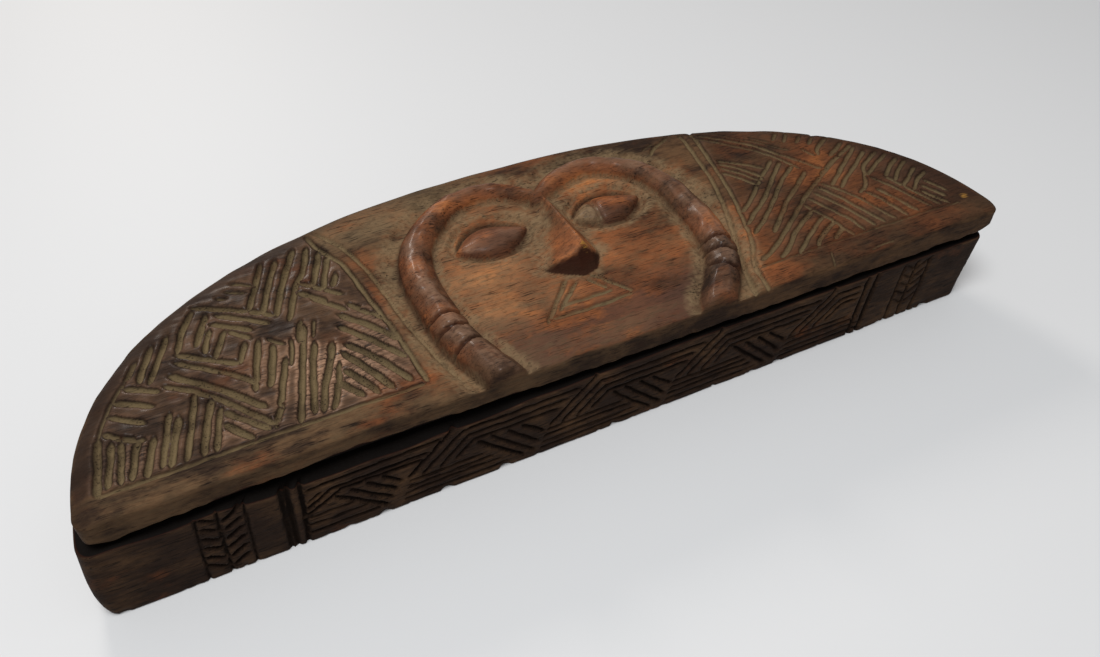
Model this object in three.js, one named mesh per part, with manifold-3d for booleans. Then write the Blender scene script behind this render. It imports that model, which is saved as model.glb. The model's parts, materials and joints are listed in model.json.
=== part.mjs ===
// A half-moon powder box: a hollowed wooden body and the loose lid that lifts off it,
// each carved from one block. Millimetres, with +X along the straight front, +Y towards
// the curved back and +Z up.

import * as THREE from 'three';
import { ConvexGeometry } from 'three/addons/geometries/ConvexGeometry.js';
import { mergeVertices } from 'three/addons/utils/BufferGeometryUtils.js';
import Module from 'manifold-3d';

const wasm = await Module();
wasm.setup();

// Half-moon plan, shared by the body and the lid
const lidLength = 301.5;
const lidDepth = 97.3;
const endRoundnessShare = 2.26;
const backRoundnessShare = 2.4;
const tipCut = 2.2;
const backSteps = 56;
const frontSteps = 8;

// Body
const bodyHeight = 26.4;
const bodyStandsOutLeft = 2.5;
const lidHangsOverRight = 3;
const bodyStandsOutFront = 0.6;
const lidHangsOverBack = 1;
const rightEndSlope = 4;
const backSlope = 2;
const footRound = 1.2;
const rimRound = 0.5;

// Well hollowed out of the body
const wallThickness = 9;
const floorThickness = 7;
const wellFillet = 3;

// Lid, with the plug carved under it
const lidThickness = 10.3;
const restGap = 0.3;
const edgeGap = 1.6;
const edgeBevel = 3.5;
const lidFootRound = 0.8;
const lidTopRound = 2.4;
const lidTopDrop = 1.8;
const plugDepth = 5;
const plugClearance = 0.8;
const plugChamfer = 1;

// Face carved on the lid: its middle, its half width between the ridges' centres, and how
// deep the ridges root
const faceOffset = 3.1;
const faceHalfWidth = 48.2;
const rootDepth = 3;

// Two ridges in the shape of a heart, from the notch over the brow and down to the front edge
const ridgeHalfWidth = 5.6;
const ridgeHeight = 4.6;
const ridgeSteps = 40;
const ridgeSides = 8;
const ridgeInset = 0.5;
const ridgeSink = 0.4;
const leftRidgePathShares = [
  [0.17, 0.706], [0.07, 0.761], [-0.07, 0.815], [-0.29, 0.862], [-0.575, 0.826], [-0.84, 0.708], [-0.955, 0.602],
  [-0.998, 0.481], [-0.99, 0.327], [-0.953, 0.183], [-0.82, -0.02],
];
const rightRidgePathShares = [
  [0.04, 0.715], [0.15, 0.767], [0.3, 0.82], [0.555, 0.851], [0.77, 0.804], [0.925, 0.712], [0.992, 0.603],
  [1.002, 0.481], [0.97, 0.327], [0.885, 0.183], [0.61, -0.02],
];

// Size of a ridge along its path, with three ring grooves between its collars
const ridgeSizeShares = [
  [0, 0.5], [0.12, 0.7], [0.3, 0.78], [0.5, 0.94], [0.7, 1],
  [0.757, 1], [0.764, 0.84], [0.771, 1.04], [0.806, 1.04], [0.813, 0.86], [0.82, 1.04],
  [0.859, 1.04], [0.866, 0.84], [0.873, 1], [1, 1],
];

// Nose, a wedge that falls steeply to the mouth
const noseLength = 42;
const noseWidth = 21;
const noseHeight = 7.4;
const noseBridgeShares = [0.1, 0.748];
const noseShares = [
  [0, 0, 0.36], [-0.1, -0.88, 1], [0.09, -0.86, 0.8], [-0.5, -0.86, 0.6],
  [-0.74, -0.845, -0.04], [0.26, -0.835, -0.04], [-0.43, -0.93, -0.04],
  [-0.05, -0.985, -0.04], [0.12, -0.96, -0.04],
];

// Eyes, an almond in each sunken socket
const eyeHalfLength = 13.8;
const eyeHalfHeight = 7;
const eyeHeight = 2.6;
const eyeRaise = 0.9;
const eyeDistance = 44;
const eyePlaceShare = 0.6;
const eyeTilt = THREE.MathUtils.degToRad(7);
const eyeSteps = 20;
const eyeLevelShares = [[1, 0], [0.94, 0.55], [0.72, 0.85], [0.34, 1]];
const socketHalfLength = 16;
const socketHalfHeight = 10.5;
const socketDepth = 1.8;
const socketColumns = 24;
const socketRows = 11;

// Grooves carved in the surface: how far their cutters stand above it, and the run over
// which an end comes up to it
const cutterRise = 0.6;
const grooveRun = 1.2;
const panelGrooveWidth = 2;
const panelGrooveDepth = 1;
const mouthGrooveWidth = 1;
const mouthGrooveDepth = 0.5;
const friezeGrooveWidth = 1.5;
const friezeGrooveDepth = 0.9;

// The main strokes of the lid's two panels, as rows of grooves: both ends of the first one
// and of the last one, in shares of half the lid's length from its middle and of its depth,
// and how many there are
const panelRowShares = [
  [[-0.937, 0.127], [-0.926, 0.234], [-0.873, 0.127], [-0.86, 0.218], 2],
  [[-0.837, 0.127], [-0.802, 0.311], [-0.765, 0.127], [-0.746, 0.265], 2],
  [[-0.802, 0.389], [-0.674, 0.222], [-0.774, 0.487], [-0.685, 0.396], 2],
  [[-0.649, 0.208], [-0.612, 0.392], [-0.67, 0.358], [-0.642, 0.46], 2],
  [[-0.768, 0.533], [-0.734, 0.642], [-0.715, 0.475], [-0.696, 0.543], 2],
  [[-0.709, 0.672], [-0.616, 0.58], [-0.68, 0.569], [-0.634, 0.507], 2],
  [[-0.861, 0.458], [-0.835, 0.549], [-0.808, 0.458], [-0.78, 0.573], 2],
  [[-0.629, 0.127], [-0.579, 0.368], [-0.564, 0.127], [-0.522, 0.358], 2],
  [[-0.512, 0.269], [-0.475, 0.129], [-0.49, 0.409], [-0.402, 0.152], 2],
  [[-0.625, 0.631], [-0.584, 0.768], [-0.493, 0.659], [-0.465, 0.762], 3],
  [[-0.916, 0.302], [-0.867, 0.253], [-0.877, 0.436], [-0.835, 0.389], 2],
  [[0.46, 0.394], [0.615, 0.578], [0.439, 0.285], [0.651, 0.516], 2],
  [[0.449, 0.135], [0.582, 0.267], [0.549, 0.131], [0.602, 0.183], 2],
  [[0.549, 0.796], [0.638, 0.602], [0.615, 0.764], [0.701, 0.528], 2],
  [[0.611, 0.31], [0.638, 0.133], [0.679, 0.376], [0.731, 0.133], 2],
  [[0.77, 0.276], [0.796, 0.133], [0.834, 0.306], [0.865, 0.133], 2],
  [[0.72, 0.387], [0.867, 0.52], [0.737, 0.317], [0.897, 0.448], 2],
  [[0.715, 0.697], [0.74, 0.725], [0.768, 0.594], [0.814, 0.646], 2],
];

// Single grooves of the panels, the lines along their front, and the pairs of lines that
// part them from the face
const panelLineShares = [
  [[-0.733, 0.24], [-0.674, 0.133]],
  [[-0.479, 0.467], [-0.406, 0.285]],
  [[0.402, 0.148], [0.824, 0.567]],
  [[0.518, 0.635], [0.558, 0.543]],
  [[0.863, 0.3], [0.927, 0.353]],
  [[-0.95, 0.093], [-0.406, 0.093]],
  [[0.39, 0.093], [0.927, 0.093]],
  [[-0.45, 0.846], [-0.416, 0.67], [-0.397, 0.471], [-0.388, 0.265], [-0.382, 0.131]],
  [[-0.425, 0.834], [-0.387, 0.649], [-0.372, 0.46], [-0.353, 0.276], [-0.331, 0.137]],
  [[0.481, 0.856], [0.464, 0.676], [0.44, 0.512], [0.403, 0.337], [0.353, 0.131]],
  [[0.509, 0.835], [0.489, 0.655], [0.463, 0.492], [0.43, 0.321], [0.388, 0.152]],
];
const mouthLineShares = [
  [[-0.105, 0.169], [0.081, 0.169]],
  [[-0.112, 0.195], [-0.032, 0.306]],
  [[0.095, 0.203], [0.037, 0.306]],
];

// Frieze along the body's front, in repeats that start left of the middle; each repeat's
// grooves are in shares of a repeat and of the body's height, and the last one has only the
// first of them and a short turned one
const friezeOffset = 69.4;
const friezeRepeat = 44.9;
const friezeRepeats = 4;
const friezeUnitShares = [
  [[0.027, 0.475], [0.321, 0.929]],
  [[0.214, 0.459], [0.423, 0.767], [1.102, 0.767]],
  [[0.503, 0.589], [0.771, 0.149]],
  [[0.713, 0.597], [0.913, 0.263]],
  [[1.002, 0.369], [1.548, 0.369]],
  [[0.991, 0.195], [1.648, 0.195]],
];
const friezeEndShares = [
  [[0.027, 0.475], [0.321, 0.929]],
  [[0.214, 0.459], [0.423, 0.767], [0.58, 0.767]],
];

// What stands left of the first repeat, in the same shares
const friezeStartShares = [
  [[-0.61, 0.824], [0.192, 0.847]],
  [[-0.61, 0.475], [-0.419, 0.649], [0.071, 0.653]],
  [[-0.441, 0.528], [-0.187, 0.164]],
  [[-0.254, 0.558], [-0.098, 0.316]],
  [[-0.619, 0.271], [-0.339, 0.271]],
  [[0.004, 0.369], [0.526, 0.369]],
  [[-0.04, 0.195], [0.619, 0.195]],
];

// Upright grooves of the frieze's ends, in shares of half the lid's length, and two columns
// of herringbone, whose rows are in shares of a column's half width and of the body's height
const uprightShares = [-0.84, -0.755, -0.69, -0.658, 0.63, 0.656, 0.737, 0.824];
const uprightEndShares = [0.09, 0.935];
const columnMiddleShares = [-0.797, 0.78];
const columnHalfWidth = 6.4;
const chevronShares = [[-0.75, 0.094], [0, 0], [0.75, 0.094]];
const chevronRowShares = [0.225, 0.49, 0.755];

// How far a cutting block runs past what it cuts
const overrun = 10;

// Heights and places worked out from the sizes above
const seatZ = bodyHeight + restGap;
const lidTopZ = seatZ + lidThickness;
const lidMiddleX = bodyStandsOutLeft / 2;
const lidLeft = lidMiddleX - lidLength / 2;
const lidRight = lidMiddleX + lidLength / 2;
const bodyLeft = lidLeft - bodyStandsOutLeft;
const bodyRight = lidRight - lidHangsOverRight;
const bodyBack = lidDepth - lidHangsOverBack;
const faceMiddleX = lidMiddleX + faceOffset;
const eyeY = lidDepth * eyePlaceShare;

const up = new THREE.Vector3(0, 0, 1);
const frontward = new THREE.Vector3(0, -1, 0);

// One level of a half-moon solid, counter-clockwise from the right tip over the back and along the front.
function halfMoonRing(left, right, front, back, z) {
  const middle = (left + right) / 2;
  const halfLength = (right - left) / 2;
  const depth = back - front;
  const tipAngle = Math.asin((tipCut / depth) ** (backRoundnessShare / 2));
  const ring = [];
  for (let step = 0; step <= backSteps; step += 1) {
    const angle = tipAngle + (Math.PI - 2 * tipAngle) * step / backSteps;
    const across = Math.sign(Math.cos(angle)) * Math.abs(Math.cos(angle)) ** (2 / endRoundnessShare);
    const deep = Math.sin(angle) ** (2 / backRoundnessShare);
    ring.push(new THREE.Vector3(middle + halfLength * across, front + depth * deep, z));
  }
  for (let step = 0; step <= frontSteps; step += 1) {
    const across = 2 * step / frontSteps - 1;
    ring.push(new THREE.Vector3(middle + (halfLength - tipCut) * across, front, z));
  }
  return ring;
}

// The body's outline at a height, moved in from its outside: the right end and the back
// lean in towards the foot.
function bodyRing(z, inset) {
  const below = 1 - z / bodyHeight;
  const right = bodyRight - rightEndSlope * below;
  const back = bodyBack - backSlope * below;
  return halfMoonRing(bodyLeft + inset, right - inset, inset - bodyStandsOutFront, back - inset, z);
}

function lidRing(z, inset) {
  return halfMoonRing(lidLeft + inset, lidRight - inset, inset, lidDepth - inset, z);
}

// A closed solid through rings that run counter-clockwise about the way they follow each other.
function loft(rings) {
  const count = rings[0].length;
  const positions = rings.flat();
  const index = [];
  for (let level = 0; level + 1 < rings.length; level += 1) {
    for (let corner = 0; corner < count; corner += 1) {
      const next = (corner + 1) % count;
      const low = level * count;
      const high = low + count;
      index.push(low + corner, low + next, high + next);
      index.push(low + corner, high + next, high + corner);
    }
  }
  const lastLow = (rings.length - 1) * count;
  const firstMiddle = positions.length;
  const lastMiddle = firstMiddle + 1;
  positions.push(ringMiddle(rings[0]), ringMiddle(rings.at(-1)));
  for (let corner = 0; corner < count; corner += 1) {
    const next = (corner + 1) % count;
    index.push(firstMiddle, next, corner);
    index.push(lastMiddle, lastLow + corner, lastLow + next);
  }
  const geometry = new THREE.BufferGeometry().setFromPoints(positions);
  geometry.setIndex(index);
  return geometry;
}

function ringMiddle(ring) {
  const middle = new THREE.Vector3();
  for (const point of ring) {
    middle.add(point);
  }
  return middle.divideScalar(ring.length);
}

function toSolid(geometry) {
  geometry.deleteAttribute('normal');
  geometry.deleteAttribute('uv');
  const merged = mergeVertices(geometry);
  const vertProperties = Float32Array.from(merged.attributes.position.array);
  const triVerts = Uint32Array.from(merged.index.array);
  return new wasm.Manifold(new wasm.Mesh({ numProp: 3, vertProperties, triVerts }));
}

function toGeometry(solid) {
  const { vertProperties, triVerts } = solid.getMesh();
  const geometry = new THREE.BufferGeometry();
  geometry.setAttribute('position', new THREE.BufferAttribute(vertProperties, 3));
  geometry.setIndex(new THREE.BufferAttribute(triVerts, 1));
  return geometry;
}

// Body: up the outside, over the rim and down the well to its floor.
function bodyGeometry() {
  return loft([
    bodyRing(0, footRound),
    bodyRing(footRound, 0),
    bodyRing(bodyHeight - rimRound, 0),
    bodyRing(bodyHeight, rimRound),
    bodyRing(bodyHeight, wallThickness - rimRound),
    bodyRing(bodyHeight - rimRound, wallThickness),
    bodyRing(floorThickness + wellFillet, wallThickness),
    bodyRing(floorThickness, wallThickness + wellFillet),
  ]);
}

// Lid board: the plug fits the well, and the bevel round the underside leaves the dark line over the rim.
function boardGeometry() {
  const plugInset = wallThickness + plugClearance;
  const plugFootZ = bodyHeight - plugDepth;
  const edgeFootZ = seatZ + edgeGap;
  return loft([
    bodyRing(plugFootZ, plugInset + plugChamfer),
    bodyRing(plugFootZ + plugChamfer, plugInset),
    bodyRing(seatZ, plugInset),
    lidRing(seatZ, edgeBevel),
    lidRing(edgeFootZ, lidFootRound),
    lidRing(edgeFootZ + lidFootRound, 0),
    lidRing(lidTopZ - lidTopDrop, 0),
    lidRing(lidTopZ - lidTopDrop / 4, lidTopRound / 3),
    lidRing(lidTopZ, lidTopRound),
  ]);
}

// Size of a ridge at a share of its path, read between the two nearest entries.
function ridgeSize(share) {
  const after = ridgeSizeShares.findIndex(([place]) => place >= share);
  if (after <= 0) {
    return ridgeSizeShares[0][1];
  }
  const [startPlace, startSize] = ridgeSizeShares[after - 1];
  const [endPlace, endSize] = ridgeSizeShares[after];
  return THREE.MathUtils.mapLinear(share, startPlace, endPlace, startSize, endSize);
}

// A half-round bar along a curve drawn on the lid, rooted in the board.
function ridgeGeometry(pathShares) {
  const path = new THREE.CatmullRomCurve3(pathShares.map(([across, deep]) => new THREE.Vector3(
    faceMiddleX + faceHalfWidth * across,
    lidDepth * deep,
    lidTopZ - ridgeSink,
  )));
  const places = ridgeSizeShares.map(([place]) => place);
  for (let step = 0; step <= ridgeSteps; step += 1) {
    const place = step / ridgeSteps;
    if (places.every((other) => Math.abs(other - place) > 0.004)) {
      places.push(place);
    }
  }
  places.sort((first, second) => first - second);
  return loft(places.map((place) => {
    const middle = path.getPointAt(place);
    const left = new THREE.Vector3().crossVectors(up, path.getTangentAt(place));
    const size = ridgeSize(place);
    const ring = [];
    for (let side = 0; side <= ridgeSides; side += 1) {
      const angle = Math.PI * side / ridgeSides;
      const point = middle.clone().addScaledVector(left, ridgeHalfWidth * size * Math.cos(angle));
      ring.push(point.addScaledVector(up, ridgeHeight * size * Math.sin(angle)));
    }
    for (const edge of [-1, 1]) {
      const foot = middle.clone().addScaledVector(left, edge * ridgeHalfWidth * size);
      ring.push(foot.addScaledVector(up, -rootDepth));
    }
    return ring;
  }));
}

function noseGeometry() {
  const bridgeX = faceMiddleX + faceHalfWidth * noseBridgeShares[0];
  const bridgeY = lidDepth * noseBridgeShares[1];
  const corners = [];
  for (const [across, deep, high] of noseShares) {
    const x = bridgeX + noseWidth * across;
    const y = bridgeY + noseLength * deep;
    corners.push(new THREE.Vector3(x, y, lidTopZ + noseHeight * high));
    corners.push(new THREE.Vector3(x, y, lidTopZ - rootDepth));
  }
  return new ConvexGeometry(corners);
}

// Moves a form drawn about its own middle to an eye's place: side is -1 for the left eye and 1 for the right.
function placeAtEye(geometry, side, z) {
  geometry.rotateZ(eyeTilt);
  geometry.translate(faceMiddleX + side * eyeDistance / 2, eyeY, z);
  return geometry;
}

// A cutter for a groove along a path on a surface: a V that comes up to the surface at both ends.
function grooveGeometry(path, outward, width, depth) {
  const halfTop = width * (depth + cutterRise) / (2 * depth);
  const last = path.length - 1;
  return loft(path.map((point, step) => {
    const before = point.clone().sub(path[Math.max(step - 1, 0)]).normalize();
    const after = path[Math.min(step + 1, last)].clone().sub(point).normalize();
    const along = before.clone().add(after).normalize();
    const left = new THREE.Vector3().crossVectors(outward, along);
    const reach = halfTop / Math.max(before.dot(along), after.dot(along));
    const top = point.clone().addScaledVector(outward, cutterRise);
    const bottom = point.clone().addScaledVector(outward, -depth);
    if (step === 0) {
      bottom.addScaledVector(along, grooveRun);
    }
    if (step === last) {
      bottom.addScaledVector(along, -grooveRun);
    }
    return [top.clone().addScaledVector(left, reach), top.clone().addScaledVector(left, -reach), bottom];
  }));
}

// Cuts one groove along each path.
function carve(solid, paths, outward, width, depth) {
  let carved = solid;
  for (const path of paths) {
    carved = carved.subtract(toSolid(grooveGeometry(path, outward, width, depth)));
  }
  return carved;
}

function onLidTop([across, deep]) {
  return new THREE.Vector3(lidMiddleX + across * lidLength / 2, lidDepth * deep, lidTopZ);
}

function onBodyFront(x, highShare) {
  return new THREE.Vector3(x, -bodyStandsOutFront, bodyHeight * highShare);
}

// The grooves of a row, spread evenly from its first one to its last one.
function rowPaths([firstStart, firstEnd, lastStart, lastEnd, count]) {
  return Array.from({ length: count }, (_, step) => {
    const share = step / (count - 1);
    return [
      onLidTop(firstStart).lerp(onLidTop(lastStart), share),
      onLidTop(firstEnd).lerp(onLidTop(lastEnd), share),
    ];
  });
}

function friezePaths() {
  const paths = [];
  const addUnit = (shares, repeat) => {
    const start = lidMiddleX - friezeOffset + friezeRepeat * repeat;
    for (const path of shares) {
      paths.push(path.map(([across, high]) => onBodyFront(start + friezeRepeat * across, high)));
    }
  };
  addUnit(friezeStartShares, 0);
  for (let repeat = 0; repeat + 1 < friezeRepeats; repeat += 1) {
    addUnit(friezeUnitShares, repeat);
  }
  addUnit(friezeEndShares, friezeRepeats - 1);
  return paths;
}

// Upright grooves, and the rows of the herringbone columns.
function friezeEndPaths() {
  const paths = uprightShares.map((across) => uprightEndShares.map(
    (high) => onBodyFront(lidMiddleX + across * lidLength / 2, high),
  ));
  for (const middle of columnMiddleShares) {
    const x = lidMiddleX + middle * lidLength / 2;
    for (const row of chevronRowShares) {
      paths.push(chevronShares.map(([across, high]) => onBodyFront(x + columnHalfWidth * across, row + high)));
    }
  }
  return paths;
}

function socketGeometry(side) {
  const bowl = new THREE.SphereGeometry(1, socketColumns, socketRows);
  bowl.rotateX(Math.PI / 2);
  bowl.scale(socketHalfLength, socketHalfHeight, socketDepth);
  return placeAtEye(bowl, side, lidTopZ);
}

function eyeGeometry(side) {
  const bottom = lidTopZ + eyeRaise - eyeHeight;
  const almond = (size, z) => Array.from({ length: eyeSteps }, (_, step) => {
    const angle = 2 * Math.PI * step / eyeSteps;
    const rise = Math.sin(angle) * Math.abs(Math.sin(angle));
    return new THREE.Vector3(eyeHalfLength * size * Math.cos(angle), eyeHalfHeight * size * rise, z);
  });
  const rings = eyeLevelShares.map(([size, level]) => almond(size, eyeHeight * level));
  return placeAtEye(loft([almond(1, -rootDepth), ...rings]), side, bottom);
}

// What of the ridges runs past the front edge is cut off, a little behind the edge.
function frontTrimGeometry() {
  const block = new THREE.BoxGeometry(lidLength, overrun, 2 * (ridgeHeight + overrun));
  block.translate(lidMiddleX, ridgeInset - overrun / 2, lidTopZ);
  return block;
}

function lidGeometry() {
  let solid = toSolid(boardGeometry());
  for (const side of [-1, 1]) {
    solid = solid.subtract(toSolid(socketGeometry(side)));
  }
  for (const side of [-1, 1]) {
    solid = solid.add(toSolid(eyeGeometry(side)));
  }
  for (const pathShares of [leftRidgePathShares, rightRidgePathShares]) {
    solid = solid.add(toSolid(ridgeGeometry(pathShares)).subtract(toSolid(frontTrimGeometry())));
  }
  solid = solid.add(toSolid(noseGeometry()));
  const panelPaths = panelRowShares.flatMap(rowPaths).concat(panelLineShares.map((path) => path.map(onLidTop)));
  solid = carve(solid, panelPaths, up, panelGrooveWidth, panelGrooveDepth);
  const mouthPaths = mouthLineShares.map((path) => path.map(onLidTop));
  return toGeometry(carve(solid, mouthPaths, up, mouthGrooveWidth, mouthGrooveDepth));
}

function carvedBodyGeometry() {
  const paths = friezePaths().concat(friezeEndPaths());
  return toGeometry(carve(toSolid(bodyGeometry()), paths, frontward, friezeGrooveWidth, friezeGrooveDepth));
}

function piece(name, geometry, color) {
  geometry.computeVertexNormals();
  const material = new THREE.MeshStandardMaterial({ color, roughness: 0.55, metalness: 0 });
  const mesh = new THREE.Mesh(geometry, material);
  mesh.name = name;
  return mesh;
}

const box = new THREE.Group();
box.add(piece('box_body', carvedBodyGeometry(), '#38261c'));
box.add(piece('lid', lidGeometry(), '#4d3020'));
box.position.y = (bodyStandsOutFront - lidDepth) / 2;

export default box;
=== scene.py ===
import json
import math
import random

import bpy
import numpy as np
from mathutils import Matrix, Vector
from mathutils.geometry import delaunay_2d_cdt

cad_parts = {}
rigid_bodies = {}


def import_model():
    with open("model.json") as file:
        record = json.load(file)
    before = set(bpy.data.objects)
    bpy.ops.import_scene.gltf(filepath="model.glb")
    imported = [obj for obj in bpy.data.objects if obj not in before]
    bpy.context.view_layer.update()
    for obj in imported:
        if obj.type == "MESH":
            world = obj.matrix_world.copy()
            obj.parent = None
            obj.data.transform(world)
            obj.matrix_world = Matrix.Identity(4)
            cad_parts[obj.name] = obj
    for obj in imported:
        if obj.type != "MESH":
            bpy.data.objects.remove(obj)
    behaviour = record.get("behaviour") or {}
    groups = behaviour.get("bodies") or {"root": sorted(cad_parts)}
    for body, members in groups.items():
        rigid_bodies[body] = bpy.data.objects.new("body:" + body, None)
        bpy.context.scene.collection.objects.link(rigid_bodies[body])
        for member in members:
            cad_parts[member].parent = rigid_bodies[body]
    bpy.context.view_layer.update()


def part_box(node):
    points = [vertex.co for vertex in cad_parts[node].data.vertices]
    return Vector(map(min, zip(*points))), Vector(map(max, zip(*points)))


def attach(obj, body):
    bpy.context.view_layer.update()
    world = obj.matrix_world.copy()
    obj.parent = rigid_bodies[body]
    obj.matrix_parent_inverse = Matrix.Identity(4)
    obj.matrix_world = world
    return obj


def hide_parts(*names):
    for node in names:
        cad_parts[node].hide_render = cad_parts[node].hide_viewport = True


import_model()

# Carved half-moon powder box. Shapes are worked out in millimetres, with x along the straight
# front, y = 0 just behind the lid's front edge and z = 0 on the table, and turned to metres as
# they become meshes. The sizes of the two pieces come from the frame.
mm = 0.001
lidLow, lidHigh = [np.array(corner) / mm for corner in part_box("lid")]
bodyLow, bodyHigh = [np.array(corner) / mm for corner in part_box("box_body")]
frontReach = 1.8  # how far the lid's front stands before y = 0
frontShift = lidLow[1] + frontReach

outline = {
    "endRoundness": 2.26,  # how square the half moon's ends are
    "backRoundness": 2.4,  # how flat its back is
    "steps": 6000,  # points of its curve, before they are spaced evenly
    "tipCut": 1.4,
    "tipReach": (2.5, 6),  # how near a tip its corners are smoothed
    "tipRounding": 10,  # how often they are
    "backPitch": 1.0,
    "frontPitch": 0.62,
}


def ripple(points, wavelength, seed, waves=14):
    # smooth unevenness of about -1 to 1, the same every run
    rng = np.random.default_rng(seed)
    points = np.asarray(points, float)
    turns = rng.normal(size=(waves, points.shape[1]))
    rates = 2 * math.pi / wavelength * rng.uniform(0.6, 1.5, waves)
    turns *= (rates / np.linalg.norm(turns, axis=1))[:, None]
    starts = rng.uniform(0, 2 * math.pi, waves)
    total = np.zeros(len(points))
    for turn, start in zip(turns, starts):
        total += np.cos(points @ turn + start)
    return total / math.sqrt(waves)


def smooth(value, low=0.0, high=1.0):
    share = np.clip((value - low) / (high - low), 0, 1)
    return share * share * (3 - 2 * share)


def most(*values):
    return np.maximum.reduce(values)


def hump(value, middle, reach):
    # 1 at the middle, falling off softly on both sides
    return np.exp(-((value - middle) / reach) ** 2)


def spots(points, places):
    # the same round each (place, reach, strength)
    return [strength * np.exp(-(((points - place) / reach) ** 2).sum(1)) for place, reach, strength in places]


def alongCurve(corners, pitch):
    # points evenly spaced along an open run of corners
    corners = np.asarray(corners, float)
    runs = np.concatenate([[0], np.cumsum(np.linalg.norm(np.diff(corners, axis=0), axis=1))])
    count = max(2, int(math.ceil(runs[-1] / pitch)) + 1)
    places = np.linspace(0, runs[-1], count)
    return np.stack([np.interp(places, runs, column) for column in corners.T], axis=1)


def splineThrough(corners, steps=24):
    # a smooth curve through a few corners
    corners = np.asarray(corners, float)
    padded = np.vstack([2 * corners[0] - corners[1], corners, 2 * corners[-1] - corners[-2]])
    share = np.linspace(0, 1, steps, endpoint=False)[:, None]
    pieces = []
    for i in range(len(corners) - 1):
        a, b, c, d = padded[i:i + 4]
        pieces.append(0.5 * (2 * b + (c - a) * share + (2 * a - 5 * b + 4 * c - d) * share**2
                             + (3 * b - a - 3 * c + d) * share**3))
    pieces.append(corners[-1:])
    return np.vstack(pieces)


def nearest(points, line):
    # distance to the closest of the line's points, and which one it is
    points, line = np.asarray(points, float), np.asarray(line, float)
    distances, indices = [], []
    lineSquares = (line**2).sum(1)
    for start in range(0, len(points), 4000):
        part = points[start:start + 4000]
        squares = (part**2).sum(1)[:, None] + lineSquares - 2 * part @ line.T
        found = squares.argmin(1)
        indices.append(found)
        distances.append(np.sqrt(np.maximum(squares[np.arange(len(part)), found], 0)))
    return np.concatenate(distances), np.concatenate(indices)


def halfMoon(length, depth):
    # the outline as shares, across from -1 to 1 and deep from 0 to 1, from the right tip over the back
    tip = math.asin((outline["tipCut"] / depth) ** (outline["backRoundness"] / 2))
    angles = np.linspace(tip, math.pi - tip, outline["steps"])
    across = np.sign(np.cos(angles)) * np.abs(np.cos(angles)) ** (2 / outline["endRoundness"])
    deep = np.sin(angles) ** (2 / outline["backRoundness"])
    back = alongCurve(np.stack([across * length / 2, deep * depth], axis=1), outline["backPitch"])
    reach = length / 2 - outline["tipCut"]
    front = alongCurve([[-reach, 0], [reach, 0]], outline["frontPitch"])
    loop = np.vstack([back, front])
    fromTip = np.hypot(np.abs(loop[:, 0]) - length / 2, loop[:, 1])
    softness = 0.5 * (1 - smooth(fromTip, *outline["tipReach"]))[:, None]
    for _ in range(outline["tipRounding"]):
        loop = loop + softness * ((np.roll(loop, 1, 0) + np.roll(loop, -1, 0)) / 2 - loop)
    return loop / [length / 2, depth], len(back)


shares, backCount = halfMoon(lidHigh[0] - lidLow[0], lidHigh[1] - lidLow[1])


def ringAt(left, right, front, back, z, inset):
    left, right, front, back = left + inset, right - inset, front + inset, back - inset
    x = (left + right) / 2 + shares[:, 0] * (right - left) / 2
    y = front + shares[:, 1] * (back - front)
    return np.stack([x, y, np.full(len(x), float(z))], axis=1)


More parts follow.
